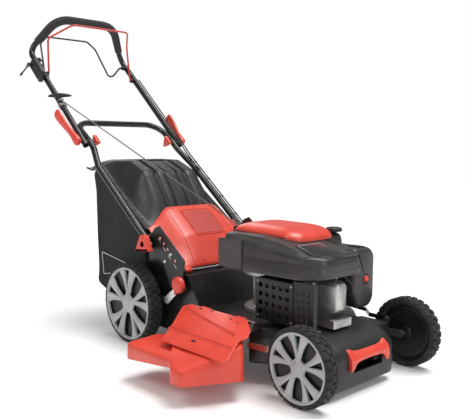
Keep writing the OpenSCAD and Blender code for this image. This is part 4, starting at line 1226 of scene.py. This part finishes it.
def make_bag_lid():
    xs = [-1052, -1048, -1040, -1030, -1020, -1005, -990, -976, -972, -967, -950, -935, -920, -903, -898,
          -893, -880, -860, -840, -824, -812, -800, -786, -770, -756, -744, -732, -720, -708, -698, -694]
    half = [0, 12, 19, 22, 26, 30, 33, 38, 43, 52, 56, 60, 64, 68, 72, 84, 96, 108, 118, 128, 140, 150, 158,
            164, 170, 178, 183, 185]
    ys = [-y for y in reversed(half[1:])] + half
    finish(thickened(sheet_mesh("bag_lid_shell", [[(x, y, lid_height(x, y)) for y in ys] for x in xs]), 4),
           "lid", "bag", "bag_lid", angle=40)
    for side in (-1, 1):
        line = [(x, side * 183.5, between(x, LID_EDGE) - 1) for x in
                [-1048 + 354 * k / 30 for k in range(31)]]
        finish(sweep("bag_lid_hem", line, 3.2, 10), "lid", "bag")
        for k in range(7):
            x = -975 + 40 * k
            finish(sweep("bag_lid_rib", [(x, side * 172, lid_height(x, 172) + 0.5),
                                         (x, side * 181, lid_height(x, 181) + 0.5)], 1.8, 8), "lid", "bag")
    finish(sweep("bag_handle", rounded_route([(-935, -38, 566), (-935, -30, 572), (-935, 30, 572),
                                              (-935, 38, 566)], 8), 6, 14), "lid", "bag")


CLOTH_EDGE = 0.03


def sag(x, y, z):
    """How far the cloth stands away from its flat shape: slack low down, taut at the lid."""
    low = min(1, max(0, (470 - z) / 300))
    fold = sin(0.031 * x + 0.052 * z) + 0.6 * sin(0.067 * x - 0.028 * z + 1.3) + \
        0.4 * sin(0.11 * z + 0.05 * y)
    return low * (1.6 * fold - 1.5)


def make_bag():
    outline = softened(BAG_SIDE, 16, 5)
    finer = []
    for (x0, z0), (x1, z1) in zip(outline, outline[1:] + outline[:1]):
        steps = max(1, int(Vector((x1 - x0, z1 - z0)).length / 14))
        finer += [(x0 + (x1 - x0) * k / steps, z0 + (z1 - z0) * k / steps) for k in range(steps)]
    outline = finer
    rings = []
    levels = [(30, -183), (12, -185), (5, -184), (1.5, -181), (0, -176)] + \
        [(0, -160 + 20 * k) for k in range(17)] + [(0, 176), (1.5, 181), (5, 184), (12, 185), (30, 183)]
    for inset, y in levels:
        inner = abs(y) < 178
        ring = []
        for a, b in shrunk(outline, inset):
            pull = sag(a, y, b)
            if inner:
                ring.append((a + (1.5 * pull if a < -960 else 0), y, b - (1.5 * abs(pull) if b < 200 else 0)))
            else:
                ring.append((a, y * (1 + 0.006 * pull), b))
        rings.append(ring)
    shell = rings_mesh("bag_cloth_shell", rings, ends=False)
    build = bmesh.new()
    build.from_mesh(shell.data)
    for sign in (-1, 1):
        edges = [e for e in build.edges if len(e.link_faces) == 1
                 and sign * (e.verts[0].co.y - at(0, 0, 0).y) > 0]
        bmesh.ops.triangle_fill(build, edges=edges, use_beauty=True)
    for _ in range(3):
        long = [e for e in build.edges if e.calc_length() > CLOTH_EDGE]
        bmesh.ops.subdivide_edges(build, edges=long, cuts=1, use_grid_fill=False)
        bmesh.ops.triangulate(build, faces=[f for f in build.faces if len(f.verts) > 4])
    for v in build.verts:
        x, y, z = v.co.x * 1000 + ROW_ORIGIN.x, v.co.y * 1000 + ROW_ORIGIN.y, v.co.z * 1000
        if abs(y) > 182.5:
            v.co.y = (y + (1 if y > 0 else -1) * sag(x, y, z) * 1.2 - ROW_ORIGIN.y) / 1000
    build.to_mesh(shell.data)
    build.free()
    finish(shell, "cloth", "bag", "bag_fabric", angle=70)
    patch = softened([(-955, 258), (-800, 236), (-808, 208), (-945, 182)], 5, 3)
    line = [(a, -185.8, b) for a, b in patch]
    for side in (-1, 1):
        seam = [(a, side * 183, b) for a, b in shrunk(outline, 3)]
        finish(sweep("bag_piping", seam + seam[:1], 2.2, 8), "cloth", "bag")
        if side < 0:
            finish(sweep("bag_patch_line", line + line[:1], 1.4, 6), "print", "bag", slot="bag_cloth")


# ---------------------------------------------------------------- materials of the CAD nodes

KEPT = {
    "deck": "deck", "deck_fasteners": "steel", "handle_brackets": "bracket", "washout_port": "black",
    "front_axle": "zinc", "rear_axle": "zinc", "front_bearings": "black", "rear_bearings": "black",
    "height_lever": "steel", "height_link": "tube", "lower_handle": "tube", "upper_handle": "tube",
    "opc_bail": "red_wire", "drive_bail": "tube", "rope_guide": "zinc", "cable_clips": "black",
    "engine_block": "alloy", "dipstick": "black", "muffler": "hot_steel", "muffler_guard": "guard",
    "flywheel": "iron", "crankshaft": "zinc", "blade_mount": "iron", "blade": "steel",
    "drive_belt": "rubber", "gearbox": "alloy", "bag_frame": "zinc",
}

make_camera()
make_studio()
MATERIALS = make_materials()
for node, material in KEPT.items():
    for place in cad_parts[node].material_slots:
        place.material = MATERIALS[material]
for wheel in WHEELS:
    make_tyre(wheel)
    make_hubcap(wheel)
make_front_cover()
make_grab_handle()
make_rear_flap()
make_side_flap()
make_chute()
make_deck_details()
make_knob()
make_locks()
make_cowl()
make_top_cover()
make_rope_outlet()
make_fuel_cap()
make_air_filter()
make_rocker_cover()
make_engine_details()
make_guard_details()
make_foam_grip()
make_cam_levers()
make_control_box()
make_starter_grip()
make_cables()
make_starter_rope()
make_bag_lid()
make_bag()
